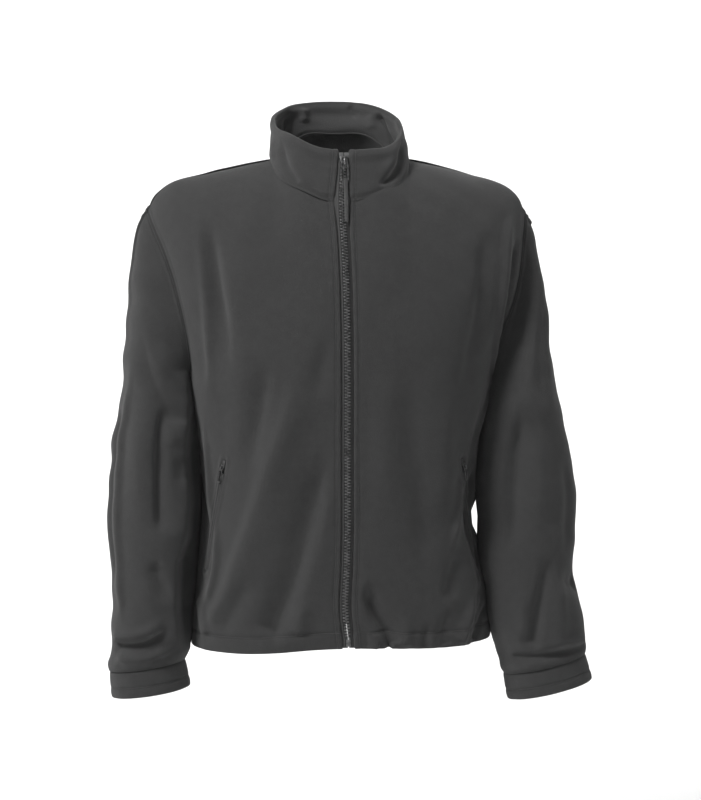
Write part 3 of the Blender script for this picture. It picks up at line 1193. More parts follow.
def collar():
    """The stand-up collar, double and padded, its inner face creased on its own."""
    ups = np.concatenate([[-0.07, -0.035], np.linspace(0, 1, COLLAR_GRID[1])])
    parts = spaced(COLLAR_GRID[0], 0.25)
    right, left = collar_form(RIGHT, parts, ups), collar_form(LEFT, parts, ups)
    grid = np.concatenate([right, left[:, ::-1][:, 1:]], axis=1)
    around = np.concatenate([parts - 1, (1 - parts)[::-1][1:]])
    raise_by = np.interp(around, *columns_of(COLLAR_RIM))
    raise_by = np.convolve(np.pad(raise_by, 6, mode="edge"), np.ones(13) / 13, mode="valid")
    grid[..., 2] += raise_by[None, :] * np.clip(ups, 0, 1)[:, None] ** 2
    normals = grid_normals(grid)

    def place(at, up):
        column = np.clip(np.interp(at, around, np.arange(len(around))), 0, len(around) - 1.001)
        row = np.interp(up, ups, np.arange(len(ups))) * 0.999
        c, r = column.astype(int), row.astype(int)
        low = mix(grid[r, c], grid[r, c + 1], (column - c)[:, None])
        high = mix(grid[r + 1, c], grid[r + 1, c + 1], (column - c)[:, None])
        return mix(low, high, (row - r)[:, None])

    lift = made_uneven(crease_lift(grid, normals, traced(COLLAR_CREASES, place)), grid, "collar", 83)
    inside = crease_lift(grid, normals, traced(COLLAR_INSIDE, place))
    inside = made_uneven(inside, grid, "collar_inside", 91)
    edge = np.minimum(distance_along(grid, 1), distance_along(grid, 1, True))
    rim, foot = distance_along(grid, 0, True), distance_along(grid, 0)
    foot = foot - foot[2]
    fade = smooth(edge, 1, 26) * smooth(foot, -4, 10)
    lift, inside = lift * fade, inside * fade
    half = COLLAR["thickness"] / 2 * mix(0.3, 1, smooth(foot, -3, 3))
    puff = 1.1 * bell(rim - 6.5, 5) - 0.5 * bell(rim - 17, 5)
    puff = (puff + 0.5 * smooth(foot, 0, 12)) * smooth(foot, -3, 3)
    stitched = groove(edge, FRONT_STITCH, 1.3, 0.9) + puckers(edge, foot, FRONT_STITCH + 2, 5, 0.3, 7)
    outer = sway(grid + normals * (half + lift + puff + stitched - 0.7 * bell(foot - 1, 3))[..., None])
    inner = sway(grid - normals * (half + puff - 0.6 * lift - inside)[..., None])
    seams = [0.6 * bell(foot, 3), bell(edge - FRONT_STITCH, 1.5)]
    marks = cloth_marks(seams, [bell(rim, 4), bell(edge, 2)])
    facing = grid_normals(outer)
    middle = len(around) // 2
    for name, columns in (("right", slice(0, middle)), ("left", slice(middle, None))):
        line = seam_line(outer[2:, columns], facing[2:, columns], edge[2:, columns], FRONT_STITCH)
        sew("collar_stitches_" + name, line)
    return cloth_mesh("collar_cloth", outer, inner, marks)


# ---- what repeats along a line
def repeat_tree():
    """A Geometry Nodes tree that sets an item at even steps along a line, upright on the line's facing."""
    tree = bpy.data.node_groups.new("repeat_along_line", "GeometryNodeTree")
    face = tree.interface
    for name, kind in (
        ("Line", "NodeSocketGeometry"), ("Item", "NodeSocketObject"), ("Spacing", "NodeSocketFloat"),
        ("Unevenness", "NodeSocketFloat"), ("Material", "NodeSocketMaterial"),
    ):
        face.new_socket(name, in_out="INPUT", socket_type=kind)
    face.new_socket("Pieces", in_out="OUTPUT", socket_type="NodeSocketGeometry")

    def node(kind, **settings):
        own = kind.startswith(("Node", "Function", "Shader"))
        made = tree.nodes.new(kind if own else "GeometryNode" + kind)
        for key, value in settings.items():
            setattr(made, key, value)
        return made

    given, out = node("NodeGroupInput"), node("NodeGroupOutput")
    to_curve, resample = node("MeshToCurve"), node("ResampleCurve")
    place, item = node("InstanceOnPoints"), node("ObjectInfo")
    realize, paint = node("RealizeInstances"), node("SetMaterial")
    facing, tangent = node("InputNamedAttribute", data_type="FLOAT_VECTOR"), node("InputTangent")
    upright = node("FunctionNodeAlignRotationToVector", axis="Z")
    along = node("FunctionNodeAlignRotationToVector", axis="X", pivot_axis="Z")
    size = node("FunctionNodeRandomValue", data_type="FLOAT_VECTOR")
    low = node("ShaderNodeMath", operation="SUBTRACT")
    high = node("ShaderNodeMath", operation="ADD")
    if "Mode" in resample.inputs:
        resample.inputs["Mode"].default_value = "Length"
    else:
        resample.mode = "LENGTH"
    facing.inputs["Name"].default_value = "facing"
    size.inputs["Seed"].default_value = 5
    low.inputs[0].default_value = high.inputs[0].default_value = 1
    for start, output, end, entry in (
        (given, "Unevenness", low, 1), (given, "Unevenness", high, 1), (low, 0, size, "Min"),
        (high, 0, size, "Max"), (given, "Line", to_curve, "Mesh"), (to_curve, "Curve", resample, "Curve"),
        (given, "Spacing", resample, "Length"), (given, "Item", item, "Object"),
        (facing, "Attribute", upright, "Vector"), (upright, "Rotation", along, "Rotation"),
        (tangent, "Tangent", along, "Vector"), (resample, "Curve", place, "Points"),
        (item, "Geometry", place, "Instance"), (along, "Rotation", place, "Rotation"),
        (size, "Value", place, "Scale"), (place, "Instances", realize, "Geometry"),
        (realize, "Geometry", paint, "Geometry"), (given, "Material", paint, "Material"),
        (paint, "Geometry", out, "Pieces"),
    ):
        tree.links.new(start.outputs[output], end.inputs[entry])
    return tree


def repeated(tree, name, line, item, spacing, material, unevenness=0.0):
    """An item repeated along a line of points and facings, as one plain mesh."""
    spots, ups = line
    mesh = bpy.data.meshes.new(name + "_line")
    mesh.from_pydata((spots * MM).tolist(), [(k, k + 1) for k in range(len(spots) - 1)], [])
    attribute = mesh.attributes.new("facing", "FLOAT_VECTOR", "POINT")
    attribute.data.foreach_set("vector", ups.astype(np.float32).ravel())
    guide = shown(name + "_line", mesh)
    modifier = guide.modifiers.new("repeat", "NODES")
    modifier.node_group = tree
    wanted = {"Item": item, "Spacing": spacing * MM, "Unevenness": unevenness, "Material": material}
    for socket in tree.interface.items_tree:
        if socket.in_out == "INPUT" and socket.name in wanted:
            modifier[socket.identifier] = wanted[socket.name]
    graph = bpy.context.evaluated_depsgraph_get()
    made = bpy.data.meshes.new_from_object(guide.evaluated_get(graph))
    made.name = name
    made.shade_smooth()
    bpy.data.objects.remove(guide)
    return shown(name, made)


def hidden(piece):
    """Takes a pattern piece out of the scene; the tree still reads it."""
    for collection in list(piece.users_collection):
        collection.objects.unlink(piece)
    return piece


def pill(name, long, radius):
    """A small six-sided rod with domed ends, lying along x, to be repeated along lines."""
    sides = 6
    stations = [(-long / 2, 0.0), (-long / 2 + radius * 0.3, 0.7), (-long / 2 + radius, 1.0)]
    stations += [(-x, r) for x, r in reversed(stations)]
    spots, rings = [], []
    for x, r in stations:
        corners = sides if r else 1
        rings.append([len(spots) + k % corners for k in range(sides)])
        for k in range(corners):
            angle = 2 * math.pi * k / sides
            spots.append((x, radius * r * math.cos(angle), radius * r * math.sin(angle)))
    faces = []
    for a, b in zip(rings, rings[1:]):
        for k in range(sides):
            n = (k + 1) % sides
            faces.append(tuple(dict.fromkeys([a[k], b[k], b[n], a[n]])))
    return hidden(plain_mesh(name, spots, faces))


# ---- hardware shapes
def built(name, build):
    """The object that a mesh under the making becomes, its faces outwards."""
    bmesh.ops.recalc_face_normals(build, faces=build.faces)
    mesh = bpy.data.meshes.new(name)
    build.to_mesh(mesh)
    build.free()
    return shown(name, mesh)


def round_off(build, edges, by, segments):
    """Rounds edges over by a number of millimetres."""
    shape = {"segments": segments, "profile": 0.5, "affect": "EDGES", "clamp_overlap": True}
    bmesh.ops.bevel(build, geom=edges, offset=by * MM, **shape)


def shaped(name, outline, low, high, bevel, segments=2):
    """A plate: an outline of (x, z) pulled along y from low to high, its borders rounded."""
    build = bmesh.new()
    ring = [build.verts.new((x * MM, low * MM, z * MM)) for x, z in outline]
    face = build.faces.new(ring)
    pulled = bmesh.ops.extrude_face_region(build, geom=[face])
    verts = [v for v in pulled["geom"] if isinstance(v, bmesh.types.BMVert)]
    bmesh.ops.translate(build, verts=verts, vec=(0, (high - low) * MM, 0))
    bmesh.ops.recalc_face_normals(build, faces=build.faces)
    if bevel:
        rims = [e for e in build.edges if abs(e.verts[0].co.y - e.verts[1].co.y) < 1e-9]
        round_off(build, rims, bevel, segments)
    return built(name, build)


def lying(name, outline, half_deep, bevel):
    """A plate laid on its back, its outline in x and y, to be repeated along lines."""
    piece = shaped(name, outline, -half_deep, half_deep, bevel, 1)
    piece.data.transform(Matrix.Rotation(-math.pi / 2, 4, "X"))
    return hidden(piece)


def rounded(wide, high, radius, steps, centre=(0, 0)):
    """The outline of a rectangle with rounded corners."""
    outline = []
    for k, (sx, sz) in enumerate(((1, 1), (-1, 1), (-1, -1), (1, -1))):
        for step in range(steps + 1):
            angle = math.pi / 2 * (k + step / steps)
            outline.append((
                centre[0] + sx * (wide / 2 - radius) + radius * math.cos(angle),
                centre[1] + sz * (high / 2 - radius) + radius * math.sin(angle),
            ))
    return outline


def bent_rod(name, path, half_wide, half_thick):
    """A flattened rod along a path of (y, z) points, lying widest along x."""
    sides = 12
    path = curve_through([(0, *spot) for spot in path], 6 * len(path))
    side = np.array([1.0, 0.0, 0.0])
    spots = []
    for k, spot in enumerate(path):
        step = unit(path[min(k + 1, len(path) - 1)] - path[max(k - 1, 0)])
        up = unit(np.cross(step, side))
        for j in range(sides):
            angle = 2 * math.pi * j / sides
            around = side * half_wide * math.cos(angle) + up * half_thick * math.sin(angle)
            spots.append(spot + around)
    last_ring = tuple(range((len(path) - 1) * sides, len(path) * sides))
    return plain_mesh(name, spots, skin_faces(len(path), sides) + [last_ring])


def joined(name, pieces):
    """Several shapes as the one mesh."""
    build = bmesh.new()
    for piece in pieces:
        build.from_mesh(piece.data)
        bpy.data.objects.remove(piece)
    made = built(name, build)
    made.data.shade_smooth()
    return made


def set_at(piece, place):
    """Moves a shape made about the origin: z along the line, -y out of the cloth."""
    spot, normal, upwards = (np.asarray(v, float) for v in place)
    rows = np.column_stack([unit(np.cross(upwards, normal)), -normal, upwards, spot * MM])
    piece.data.transform(Matrix([*rows.tolist(), (0, 0, 0, 1)]))
    return piece


# ---- front zip
def front_line_table():
    """How far forward the centre front line lies, by height, from the hem to the rim of the collar."""
    level = float(neckline(LEFT, FRONT, np.array(0.0))[1])
    body = [body_form(LEFT, FRONT, 0.0, k / 24 * level) for k in range(24)]
    up = collar_form(LEFT, np.array([0.0]), np.arange(7) / 6)[:, 0]
    up = up + np.array([0, -COLLAR["thickness"] / 2, 0])
    return [{"z": p[2], "y": p[1]} for p in (*body, *up)]


FRONT_LINE = front_line_table()


def front_line(z):
    """Points and normals of the centre front line at heights."""
    z = np.asarray(z, float)
    slope = (read(FRONT_LINE, "z", z + 4, "y") - read(FRONT_LINE, "z", z - 4, "y")) / 8
    spot = points(0 * z, read(FRONT_LINE, "z", z, "y"), z)
    return spot, unit(points(0 * z, 0 * z - 1, slope))


def front_place(z):
    """The centre front line's point, facing and upward direction at a height."""
    spot, normal = (v[0] for v in front_line(np.array([z])))
    return spot, normal, unit(np.array([0, normal[2], -normal[1]]))


def zip_strip(name, side, rows, xs, depth, thickness):
    """A strip of tape beside the centre line, its face at a depth for each distance from the line."""
    spots, normals = front_line(rows)
    outer = spots[:, None, :] - normals[:, None, :] * depth[None, :, None]
    outer = outer + np.array([side, 0, 0]) * xs[None, :, None]
    return cloth_mesh(name, sway(outer), sway(outer - normals[:, None, :] * thickness), {})


def tape(side):
    """The zip's woven tape. It runs on behind the folded edge of the front that it is sewn to."""
    rows = np.linspace(ZIP["bottom_z"] - 1.5, ZIP["top_z"] - 1.5, TAPE_ROWS)
    xs = np.array(TAPE_OFF)
    depth = 2.1 + 0.8 * smooth(xs, 6.6, 9.6) - 0.9 * bell(xs - 4.9, 0.8)
    return zip_strip("front_tape_" + SIDE_NAME[side], side, rows, xs, depth, 0.6)


def tooth_shape():
    """One moulded tooth for a row that runs along x: its root on the tape at +y, its head past y 0."""
    half, long = TOOTH["half"], TOOTH["long"]
    flank = [
        (0.8 * half, long), (half, long - 0.6), (half, 1.3), (0.62 * half, 0.7), (0.62 * half, 0.1),
        (0.95 * half, -0.5), (0.5 * half, -0.9),
    ]
    outline = [(-x, y) for x, y in flank] + flank[::-1]
    return lying("tooth_pattern", outline, TOOTH["deep"], 0.35)


def tooth_lines():
    """The two rows of teeth, set half a pitch apart. The left row runs downwards, so that its teeth point
    the other way."""
    lines = {}
    for side in (RIGHT, LEFT):
        shift = TOOTH["pitch"] / 2 if side == LEFT else 0
        low = ZIP["bottom_z"] + ZIP["box_high"] + 2
        steps = int((ZIP["slider_z"] + 2 - low) / TOOTH["pitch"]) - 1
        heights = low + shift + np.arange(steps + 1) * TOOTH["pitch"]
        spots, normals = front_line(heights)
        spots = sway(spots + normals * 0.4)
        lines[side] = (spots[::-side], normals[::-side])
    return lines


def front_zip(tree, materials):
    """The two tapes and the two rows of moulded teeth."""
    for side in (RIGHT, LEFT):
        name = SIDE_NAME[side]
        cloth_tape = tape(side)
        finish_piece(cloth_tape, "garment", "zip_tape", materials["tape"], ["zip_tape_" + name])
    tooth = tooth_shape()
    for side, line in tooth_lines().items():
        name, material = SIDE_NAME[side], materials["teeth"]
        teeth = repeated(
            tree, "front_teeth_" + name, line, tooth, TOOTH["pitch"], material, TOOTH["unevenness"]
        )
        finish_piece(teeth, "garment", "zip_teeth", material, ["zip_teeth_" + name])


def tape_ends(materials):
    """Each tape is turned down behind the collar's rim; its pale woven back shows above the slider."""
    rows = np.linspace(ZIP["top_z"] - 6.5, ZIP["top_z"] + 0.5, TAPE_END_ROWS)
    xs = np.linspace(0.8, 9.4, 12)
    for side in (RIGHT, LEFT):
        piece = zip_strip("tape_end_" + SIDE_NAME[side], side, rows, xs, 0.35 + 0.5 * smooth(xs, 4, 9), 0.7)
        finish_piece(piece, "garment", "zip_tape", materials["tape_end"])


def slider_pieces(name, size, back_depth=0.0):
    """A slider's plates and bail about its own place on the chain."""
    wide, long, lift, plate = size["wide"] / 2, size["long"] / 2, size["lift"], size["plate"]
    face = -lift - plate
    shoulder = [
        (0.0, long * 0.72), (wide * 0.3, long * 0.98), (wide * 0.75, long), (wide, long * 0.8),
        (wide, long * 0.25), (wide * 0.62, -long * 0.35), (wide * 0.6, -long * 0.85), (wide * 0.42, -long),
    ]
    outline = shoulder + [(-x, z) for x, z in reversed(shoulder[1:])]
    pieces = [shaped(name, outline, face, -lift, 0.35 * plate, 3)]
    thick, reach = size["bail_thick"], size["bail_long"] / 2
    crown, flank = face - size["bail_high"] + thick / 2, face - size["bail_high"] * 0.62
    foot, bend = reach - thick * 0.5, reach - thick * 1.6
    path = [
        (face + 0.4, -foot), (flank, -foot), (crown, -bend), (crown, 0), (crown, bend), (flank, foot),
        (face + 0.4, foot),
    ]
    pieces.append(bent_rod(name, path, size["bail_wide"] / 2, thick / 2))
    if back_depth:
        pieces.append(shaped(name, outline, back_depth, back_depth + plate, 0.3, 2))
        post = rounded(2.6, 4.6, 0.6, 3, (0, long * 0.66))
        pieces.append(shaped(name, post, -lift - 0.4, back_depth + 0.4, 0))
    return joined(name, pieces)


def pull_frame(name, size):
    """The ring of a pull, hanging from its bar at the origin."""
    wide, bar = size["frame_wide"] / 2, size["bar"] / 2
    long, rail, thick = size["frame_long"], size["rail"], size["thick"] / 2
    outside = rounded(2 * wide, long + bar, rail * 0.9, 5, (0, (bar - long) / 2))
    inside = rounded(2 * (wide - rail), long - rail - bar, rail * 0.4, 5, (0, -(long - rail + bar) / 2))
    build = bmesh.new()
    rings = [
        [build.verts.new((x * MM, y * MM, z * MM)) for x, z in outline]
        for y in (-thick, thick) for outline in (outside, inside)
    ]
    for a, b in ((0, 1), (3, 2), (2, 0), (1, 3)):
        for k in range(len(outside)):
            n = (k + 1) % len(outside)
            build.faces.new((rings[a][k], rings[a][n], rings[b][n], rings[b][k]))
    bmesh.ops.recalc_face_normals(build, faces=build.faces)
    sharp = [e for e in build.edges if e.calc_face_angle(0) > math.radians(50)]
    round_off(build, sharp, 0.28 * size["thick"], 3)
    return built(name, build)


def hinge_of(size, ring, place):
    """Where a slider's bail carries its pull."""
    spot, normal, upwards = place
    out = size["lift"] + size["plate"] + size["bail_high"] * BAIL_EYE / 2
    up = -(size["bail_long"] / 2 - size["bail_thick"]) + ring["bar"] / 2 + BAR_CLEAR
    return spot + normal * out + upwards * up


def front_slider(materials):
    """The slider, near the top of the zip, and the pull that hangs from it against the fronts."""
    place = front_place(ZIP["slider_z"])
    slider = set_at(slider_pieces("front_slider", SLIDER, 3.3), place)
    finish_piece(slider, "garment", "zip_hardware", materials["metal"], ["zip_slider"])
    hinge = hinge_of(SLIDER, FRONT_RING, place)
    tip, tip_normal, _ = front_place(hinge[2] - PULL["long"])
    rest = tip + tip_normal * (PULL["thick"] / 2 + PULL["clear"])
    hanging = unit(hinge - rest)
    place = (hinge, unit(np.array([0, -hanging[2], hanging[1]])), hanging)
    ring = set_at(pull_frame("front_pull_ring", FRONT_RING), place)
    finish_piece(ring, "front_pull", "zip_hardware", materials["metal"], ["zip_pull"])
    strip = set_at(pull_strip(), place)
    finish_piece(strip, "front_pull", "zip_hardware", materials["rubber"])


def pull_strip():
    """The rubber strip that hangs from the ring of the front pull, ribbed towards its foot."""
    half, off, pitch = STRIP["wide"] / 2, STRIP["off"], STRIP["pitch"]
    head, foot = FRONT_RING["frame_long"] - STRIP["overlap"], PULL["long"]
    flank = [(half, head)]
    for down in np.arange(head + 1, foot - 1.6, 0.55):
        along = down - foot + STRIP["ribbed"]
        wave = 0.32 * math.cos(along * 2 * math.pi / pitch) - 0.1 if along > 0 else 0
        flank.append((half + wave, down))
    flank += [(half * 0.8, foot - 0.5), (half * 0.4, foot)]
    outline = [(off - x, -down) for x, down in flank] + [(off + x, -down) for x, down in reversed(flank)]
    pieces = [shaped("strip", outline, -0.8, 0.8, 0.25, 2)]
    for down in np.arange(foot - STRIP["ribbed"] + 0.5, foot - 1.6, pitch):
        rib = rounded(STRIP["wide"] - 1.2, 1.1, 0.5, 3, (off, -down))
        pieces.append(shaped("rib", rib, -1.15, -0.7, 0.15, 1))
    return joined("front_pull_strip", pieces)


def zip_foot(materials):
    """The box and pin that end the zip at the hem."""
    high = ZIP["box_high"]
    spot, normal, upwards = front_place(ZIP["bottom_z"] + high / 2)
    box = shaped("box", rounded(6.2, high * 0.72, 1.0, 4, (0.2, -high * 0.13)), 0.0, 3.2, 0.4, 2)
    pin = shaped("pin", rounded(2.2, high * 0.5, 0.8, 4, (-1.3, high * 0.3)), 0.4, 2.6, 0.3, 2)
    guide = shaped("guide", rounded(2.2, high * 0.44, 0.8, 4, (1.5, high * 0.28)), 0.4, 2.6, 0.3, 2)
    foot = set_at(joined("zip_foot", [box, pin, guide]), (sway(spot), normal, upwards))
    finish_piece(foot, "garment", "zip_teeth", materials["teeth"], ["zip_box"])


# ---- pockets
def pocket_frame(side, share):
    """The pocket's line on the plain form: point, facing and upward direction."""
    shares = np.array([max(share - 0.004, 0), share, min(share + 0.004, 1)])
    spots, normals = pocket_line(side, shares)
    upwards = spots[2] - spots[0]
    upwards = unit(upwards - normals[1] * np.dot(upwards, normals[1]))
    return spots[1], normals[1], upwards


def laid_frame(side, share):
    """The pocket's line where it lies on the side's dropped cloth: point, facing and upward direction."""
    spot, normal, upwards = pocket_frame(side, share)
    across = np.cross(normal, upwards)
    near = dropped_back(spot + 3 * np.array([0 * across, -across, across, -upwards, upwards]), side)
    across, upwards = unit(near[2] - near[1]), near[4] - near[3]
    normal = unit(np.cross(upwards, across))
    return near[0], normal, np.cross(across, normal)


def pocket_welt(side, hand, materials):
    """One of the two folded edges that close over a pocket's zip below its slider."""
    off, top, under = (np.array(WELT[key]) for key in ("off", "top", "under"))
    outer, inner = [], []
    for share in np.linspace(0.0, WELT["reach"], WELT["rows"]):
        spot, normal, upwards = laid_frame(side, share)
        across = np.cross(normal, upwards) * hand
        wide = off + (off[-1] - off) * WELT["widens"] * float(smooth(share, *WELT["widens_over"]))
        high = mix(WELT["low_end"], 1.0, float(smooth(share, *WELT["rises_over"])))
        high = high * (1 + 0.06 * math.sin(share * 61 + hand))
        outer.append([spot + normal * t * high + across * w for t, w in zip(top, wide)])
        inner.append([spot + normal * t * high + across * w for t, w in zip(under, wide)])
    outer, inner = np.array(outer), np.array(inner)
    marks = {"wear": np.tile(bell(off - 1.5, 1.2) * 0.7, (len(outer), 1))}
    place = "front" if hand * side < 0 else "side"
    piece = cloth_mesh(f"pocket_welt_{SIDE_NAME[side]}_{place}", outer, inner, marks)
    finish_piece(piece, "garment", "fleece", materials["fleece"])
    return piece


def pocket(side, tree, materials):
    """A side pocket's zip, which is closed: tape, coil, welts, slider and pull."""
    name, half = SIDE_NAME[side], POCKET_TAPE["half"]
    frames = [laid_frame(side, share) for share in np.linspace(0.004, 0.996, POCKET_TAPE["rows"])]
    offs = np.linspace(-half, half, POCKET_TAPE["columns"])

    def tape_face(level):
        """The tape's face, which bows a little towards the pocket's line."""
        return np.array([
            [s + n * (level + 0.25 * abs(o) / half) + np.cross(n, u) * o for o in offs]
            for s, n, u in frames
        ])

    top = POCKET_TAPE["top"]
    strip = cloth_mesh(
        "pocket_tape_" + name, tape_face(top), tape_face(top - POCKET_TAPE["thickness"]), {}
    )
    finish_piece(strip, "garment", "zip_tape", materials["tape"], ["pocket_zip_" + name])
    coil = lying("coil_pattern", rounded(COIL["long"], COIL["wide"], 0.3, 2), COIL["deep"], 0.2)
    line = (np.array([s + n for s, n, _ in frames]), np.array([n for _, n, _ in frames]))
    teeth = repeated(tree, "pocket_teeth_" + name, line, coil, COIL["pitch"], materials["teeth"])
    finish_piece(teeth, "garment", "zip_teeth", materials["teeth"])
    for hand in (-1, 1):
        welt = pocket_welt(side, hand, materials)
    spot, normal, upwards = pocket_frame(side, POCKET["slider_at"])
    place = (spot + normal * 2.1, normal, upwards)
    slider = set_at(slider_pieces("pocket_slider_" + name, POCKET_SLIDER), place)
    finish_piece(slider, "garment", "zip_hardware", materials["metal"], ["pocket_slider_" + name])
    hinge = hinge_of(POCKET_SLIDER, POCKET_RING, place)
    pull = set_at(pull_frame("pocket_pull_" + name, POCKET_RING), (hinge, normal, upwards))
    finish_piece(pull, name + "_pocket_pull", "zip_hardware", materials["metal"], ["pocket_pull_" + name])


# ---- materials
class Recipe:
    """A procedural material under the making: nodes are added and wired in one call each."""

    def __init__(self, name):
        self.material = bpy.data.materials.new(name)
        self.material.use_nodes = True
        self.tree = self.material.node_tree
        self.shader = self.tree.nodes["Principled BSDF"]
        self.coordinates = self.tree.nodes.new("ShaderNodeTexCoord").outputs["Object"]

    def node(self, kind, inputs=None, **settings):
        made = self.tree.nodes.new("ShaderNode" + kind)
        for key, value in settings.items():
            setattr(made, key, value)
        for key, value in (inputs or {}).items():
            self.put(made.inputs[key], value)
        return made

    def put(self, socket, value):
        if isinstance(value, bpy.types.NodeSocket):
            self.tree.links.new(value, socket)
        else:
            socket.default_value = value

    def math(self, operation, *values, clamp=False):
        return self.node("Math", dict(enumerate(values)), operation=operation, use_clamp=clamp).outputs[0]

    def noise(self, size, detail, roughness=0.5):
        """Noise whose features are about this many millimetres across."""
        inputs = {"Vector": self.coordinates, "Scale": 1000 / size, "Detail": detail, "Roughness": roughness}
        return self.node("TexNoise", inputs).outputs["Fac"]

    def spread(self, value, low, high, to_low=0.0, to_high=1.0):
        inputs = {"Value": value, "From Min": low, "From Max": high, "To Min": to_low, "To Max": to_high}
        return self.node("MapRange", inputs, interpolation_type="SMOOTHSTEP").outputs["Result"]

    def blend(self, share, one, other):
        made = self.node("Mix", data_type="RGBA")
        self.put(made.inputs["Factor"], share)
        colours = [s for s in made.inputs if s.type == "RGBA"]
        self.put(colours[0], one)
        self.put(colours[1], other)
        return [s for s in made.outputs if s.type == "RGBA"][0]

    def mark(self, name):
        return self.node("Attribute", attribute_name=name).outputs["Fac"]

    def bump(self, height, distance, strength, under=None):
        inputs = {"Height": height, "Distance": distance * MM, "Strength": strength}
        if under is not None:
            inputs["Normal"] = under
        return self.node("Bump", inputs).outputs["Normal"]

    def finish(self, colour, roughness, normal, **fixed):
        self.put(self.shader.inputs["Base Color"], colour)
        self.put(self.shader.inputs["Roughness"], roughness)
        self.put(self.shader.inputs["Normal"], normal)
        for key, value in fixed.items():
            self.shader.inputs[key.replace("_", " ")].default_value = value
        return self.material


def fleece():
    """Charcoal fleece: short brushed nap, clumped a little, with faint mottling, pills and rubbed edges."""
    make = Recipe("charcoal_fleece")
    shade = {part: grey(value) for part, value in FLEECE_SHADE.items()}
    mottle, cloud = make.noise(11, 3), make.noise(120, 2)
    clump, nap = make.noise(1.7, 3, 0.6), make.noise(0.45, 2)
    pills = make.node("TexVoronoi", {"Vector": make.coordinates, "Scale": 210, "Randomness": 1.0})
    sparse = make.spread(make.noise(7, 1), 0.56, 0.66)
    pill_height = make.math("MULTIPLY", make.spread(pills.outputs["Distance"], 0.0, 0.24, 1, 0), sparse)
    tone = make.math("MULTIPLY_ADD", mottle, 0.35, make.math("MULTIPLY", clump, 0.65))
    colour = make.blend(make.spread(tone, 0.3, 0.7), shade["dark"], shade["light"])
    colour = make.blend(make.spread(cloud, 0.3, 0.7, 0, 0.3), colour, shade["cloud"])
    colour = make.blend(make.math("MULTIPLY", make.mark("seam"), 0.4), colour, shade["seam"])
    rubbed = make.math("MULTIPLY", make.mark("wear"), make.spread(mottle, 0.35, 0.65, 0.1, 0.5))
    colour = make.blend(rubbed, colour, shade["rubbed"])
    colour = make.blend(make.math("MULTIPLY", pill_height, 0.4), colour, shade["pill"])
    colour = make.blend(make.math("MULTIPLY", make.mark("inside"), 0.55), colour, shade["inside"])
    roughness = make.spread(clump, 0.3, 0.7, 0.9, 1.0)
    normal = make.bump(mottle, 0.5, 0.4)
    normal = make.bump(clump, 0.5, 0.9, normal)
    normal = make.bump(make.math("MULTIPLY_ADD", pill_height, 1.6, nap), 0.3, 0.9, normal)
    soft = {"Sheen_Weight": 0.1, "Sheen_Roughness": 0.7, "Specular_IOR_Level": 0.15}
    return make.finish(colour, roughness, normal, **soft)


def woven(name, shade):
    """A close herringbone tape, its yarns about half a millimetre wide."""
    make = Recipe(name)
    parts = make.node("SeparateXYZ", {"Vector": make.coordinates})
    x, z = parts.outputs["X"], parts.outputs["Z"]
    slant = make.math("PINGPONG", x, 0.0016)
    wave = make.math("SINE", make.math("MULTIPLY", make.math("ADD", z, slant), 2 * math.pi / 0.0009))
    yarn = make.math("SINE", make.math("MULTIPLY", x, 2 * math.pi / 0.0007))
    weave = make.math("MULTIPLY_ADD", wave, 0.25, 0.5)
    weave = make.math("MULTIPLY_ADD", make.math("MULTIPLY", wave, yarn), 0.25, weave)
    worn = make.noise(9, 3)
    colour = make.blend(weave, grey(shade[0]), grey(shade[1]))
    colour = make.blend(make.spread(worn, 0.35, 0.7, 0, 0.3), colour, grey(shade[1] * 1.3))
    return make.finish(colour, make.spread(worn, 0.3, 0.7, 0.7, 0.85), make.bump(weave, 0.18, 0.8))


def grained(name, shade, rub, grain, roughness, bump, **fixed):
    """A finely grained material, rubbed between two greys. rub and grain are each a noise's size and detail,
    roughness its two ends, and bump the grain's depth and strength."""
    make = Recipe(name)
    rub, grain = make.noise(*rub), make.noise(*grain)
    colour = make.blend(make.spread(rub, 0.35, 0.65), grey(shade[0]), grey(shade[1]))
    return make.finish(colour, make.spread(rub, 0.3, 0.7, *roughness), make.bump(grain, *bump), **fixed)


def moulded():
    """The teeth's satin plastic, rubbed brighter on top and scratched where the slider runs."""
    satin = {"Specular_IOR_Level": 0.7, "Coat_Weight": 0.3, "Coat_Roughness": 0.2}
    return grained("moulded_teeth", SHADE["teeth"], (6, 3), (0.5, 2), (0.25, 0.42), (0.05, 0.5), **satin)


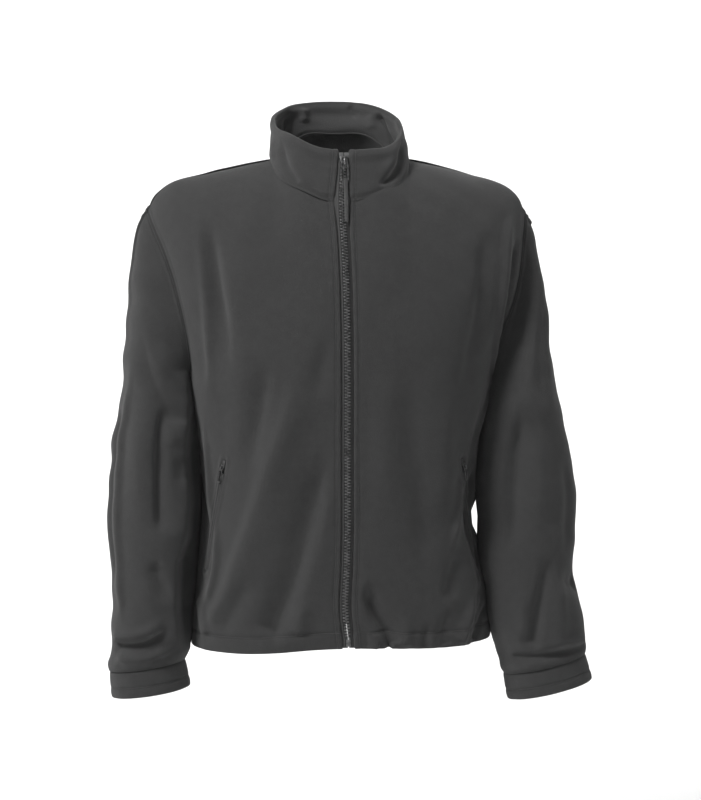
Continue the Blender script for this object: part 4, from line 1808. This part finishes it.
def metal():
    """Dark plated metal, worn pale along its edges and finely scratched."""
    make = Recipe("dark_plated_metal")
    rub, scratch = make.noise(3.5, 4), make.noise(0.35, 2)
    edges = make.node("NewGeometry").outputs["Pointiness"]
    worn = make.math("MULTIPLY", make.spread(edges, 0.5, 0.56), make.spread(rub, 0.4, 0.6, 0.3, 1))
    dark, light = SHADE["metal"]
    colour = make.blend(worn, grey(dark), grey(light))
    roughness = make.spread(rub, 0.3, 0.7, 0.26, 0.42)
    return make.finish(colour, roughness, make.bump(scratch, 0.03, 0.4), Metallic=1.0)


def rubber():
    return grained("pull_rubber", SHADE["rubber"], (8, 2), (0.5, 3), (0.5, 0.65), (0.08, 0.6))


def thread():
    return grained("stitch_thread", SHADE["thread"], (4, 2), (0.3, 2), (0.6, 0.75), (0.06, 0.8))


# ---- the jacket
def sew_stitches(tree, materials):
    """Every row of topstitching, one stitch after another, laid a little into the nap."""
    stitch, yarn = pill("stitch_pattern", STITCH["long"], STITCH["radius"]), materials["thread"]
    for name, spots, ups in STITCHES:
        line = (spots + ups * STITCH["proud"], ups)
        rows = repeated(tree, name, line, stitch, STITCH["pitch"], yarn, STITCH["unevenness"])
        finish_piece(rows, "garment", "fleece", yarn)


def jacket():
    """Every piece, cloth first and the stitches last, since each cloth says where its rows of them run."""
    materials = {
        "fleece": fleece(), "tape": woven("zip_tape_weave", SHADE["tape"]),
        "tape_end": woven("tape_end_weave", SHADE["tape_end"]), "teeth": moulded(), "metal": metal(),
        "rubber": rubber(), "thread": thread(),
    }
    creases, cloth = body_creases(), ("garment", "fleece", materials["fleece"])
    for side in (RIGHT, LEFT):
        name = SIDE_NAME[side]
        panel = finish_piece(front(side, creases), *cloth, ["front_" + name])
        arm = finish_piece(sleeve(side), *cloth, ["sleeve_" + name])
        band = finish_piece(cuff(side), *cloth, ["cuff_" + name])
    rear = finish_piece(back(creases), *cloth, ["back"])
    neck = finish_piece(collar(), *cloth, ["collar"])
    tree = repeat_tree()
    front_zip(tree, materials)
    tape_ends(materials)
    front_slider(materials)
    zip_foot(materials)
    for side in (RIGHT, LEFT):
        pocket(side, tree, materials)
    sew_stitches(tree, materials)


set_camera()
set_lights()
set_floor()
jacket()
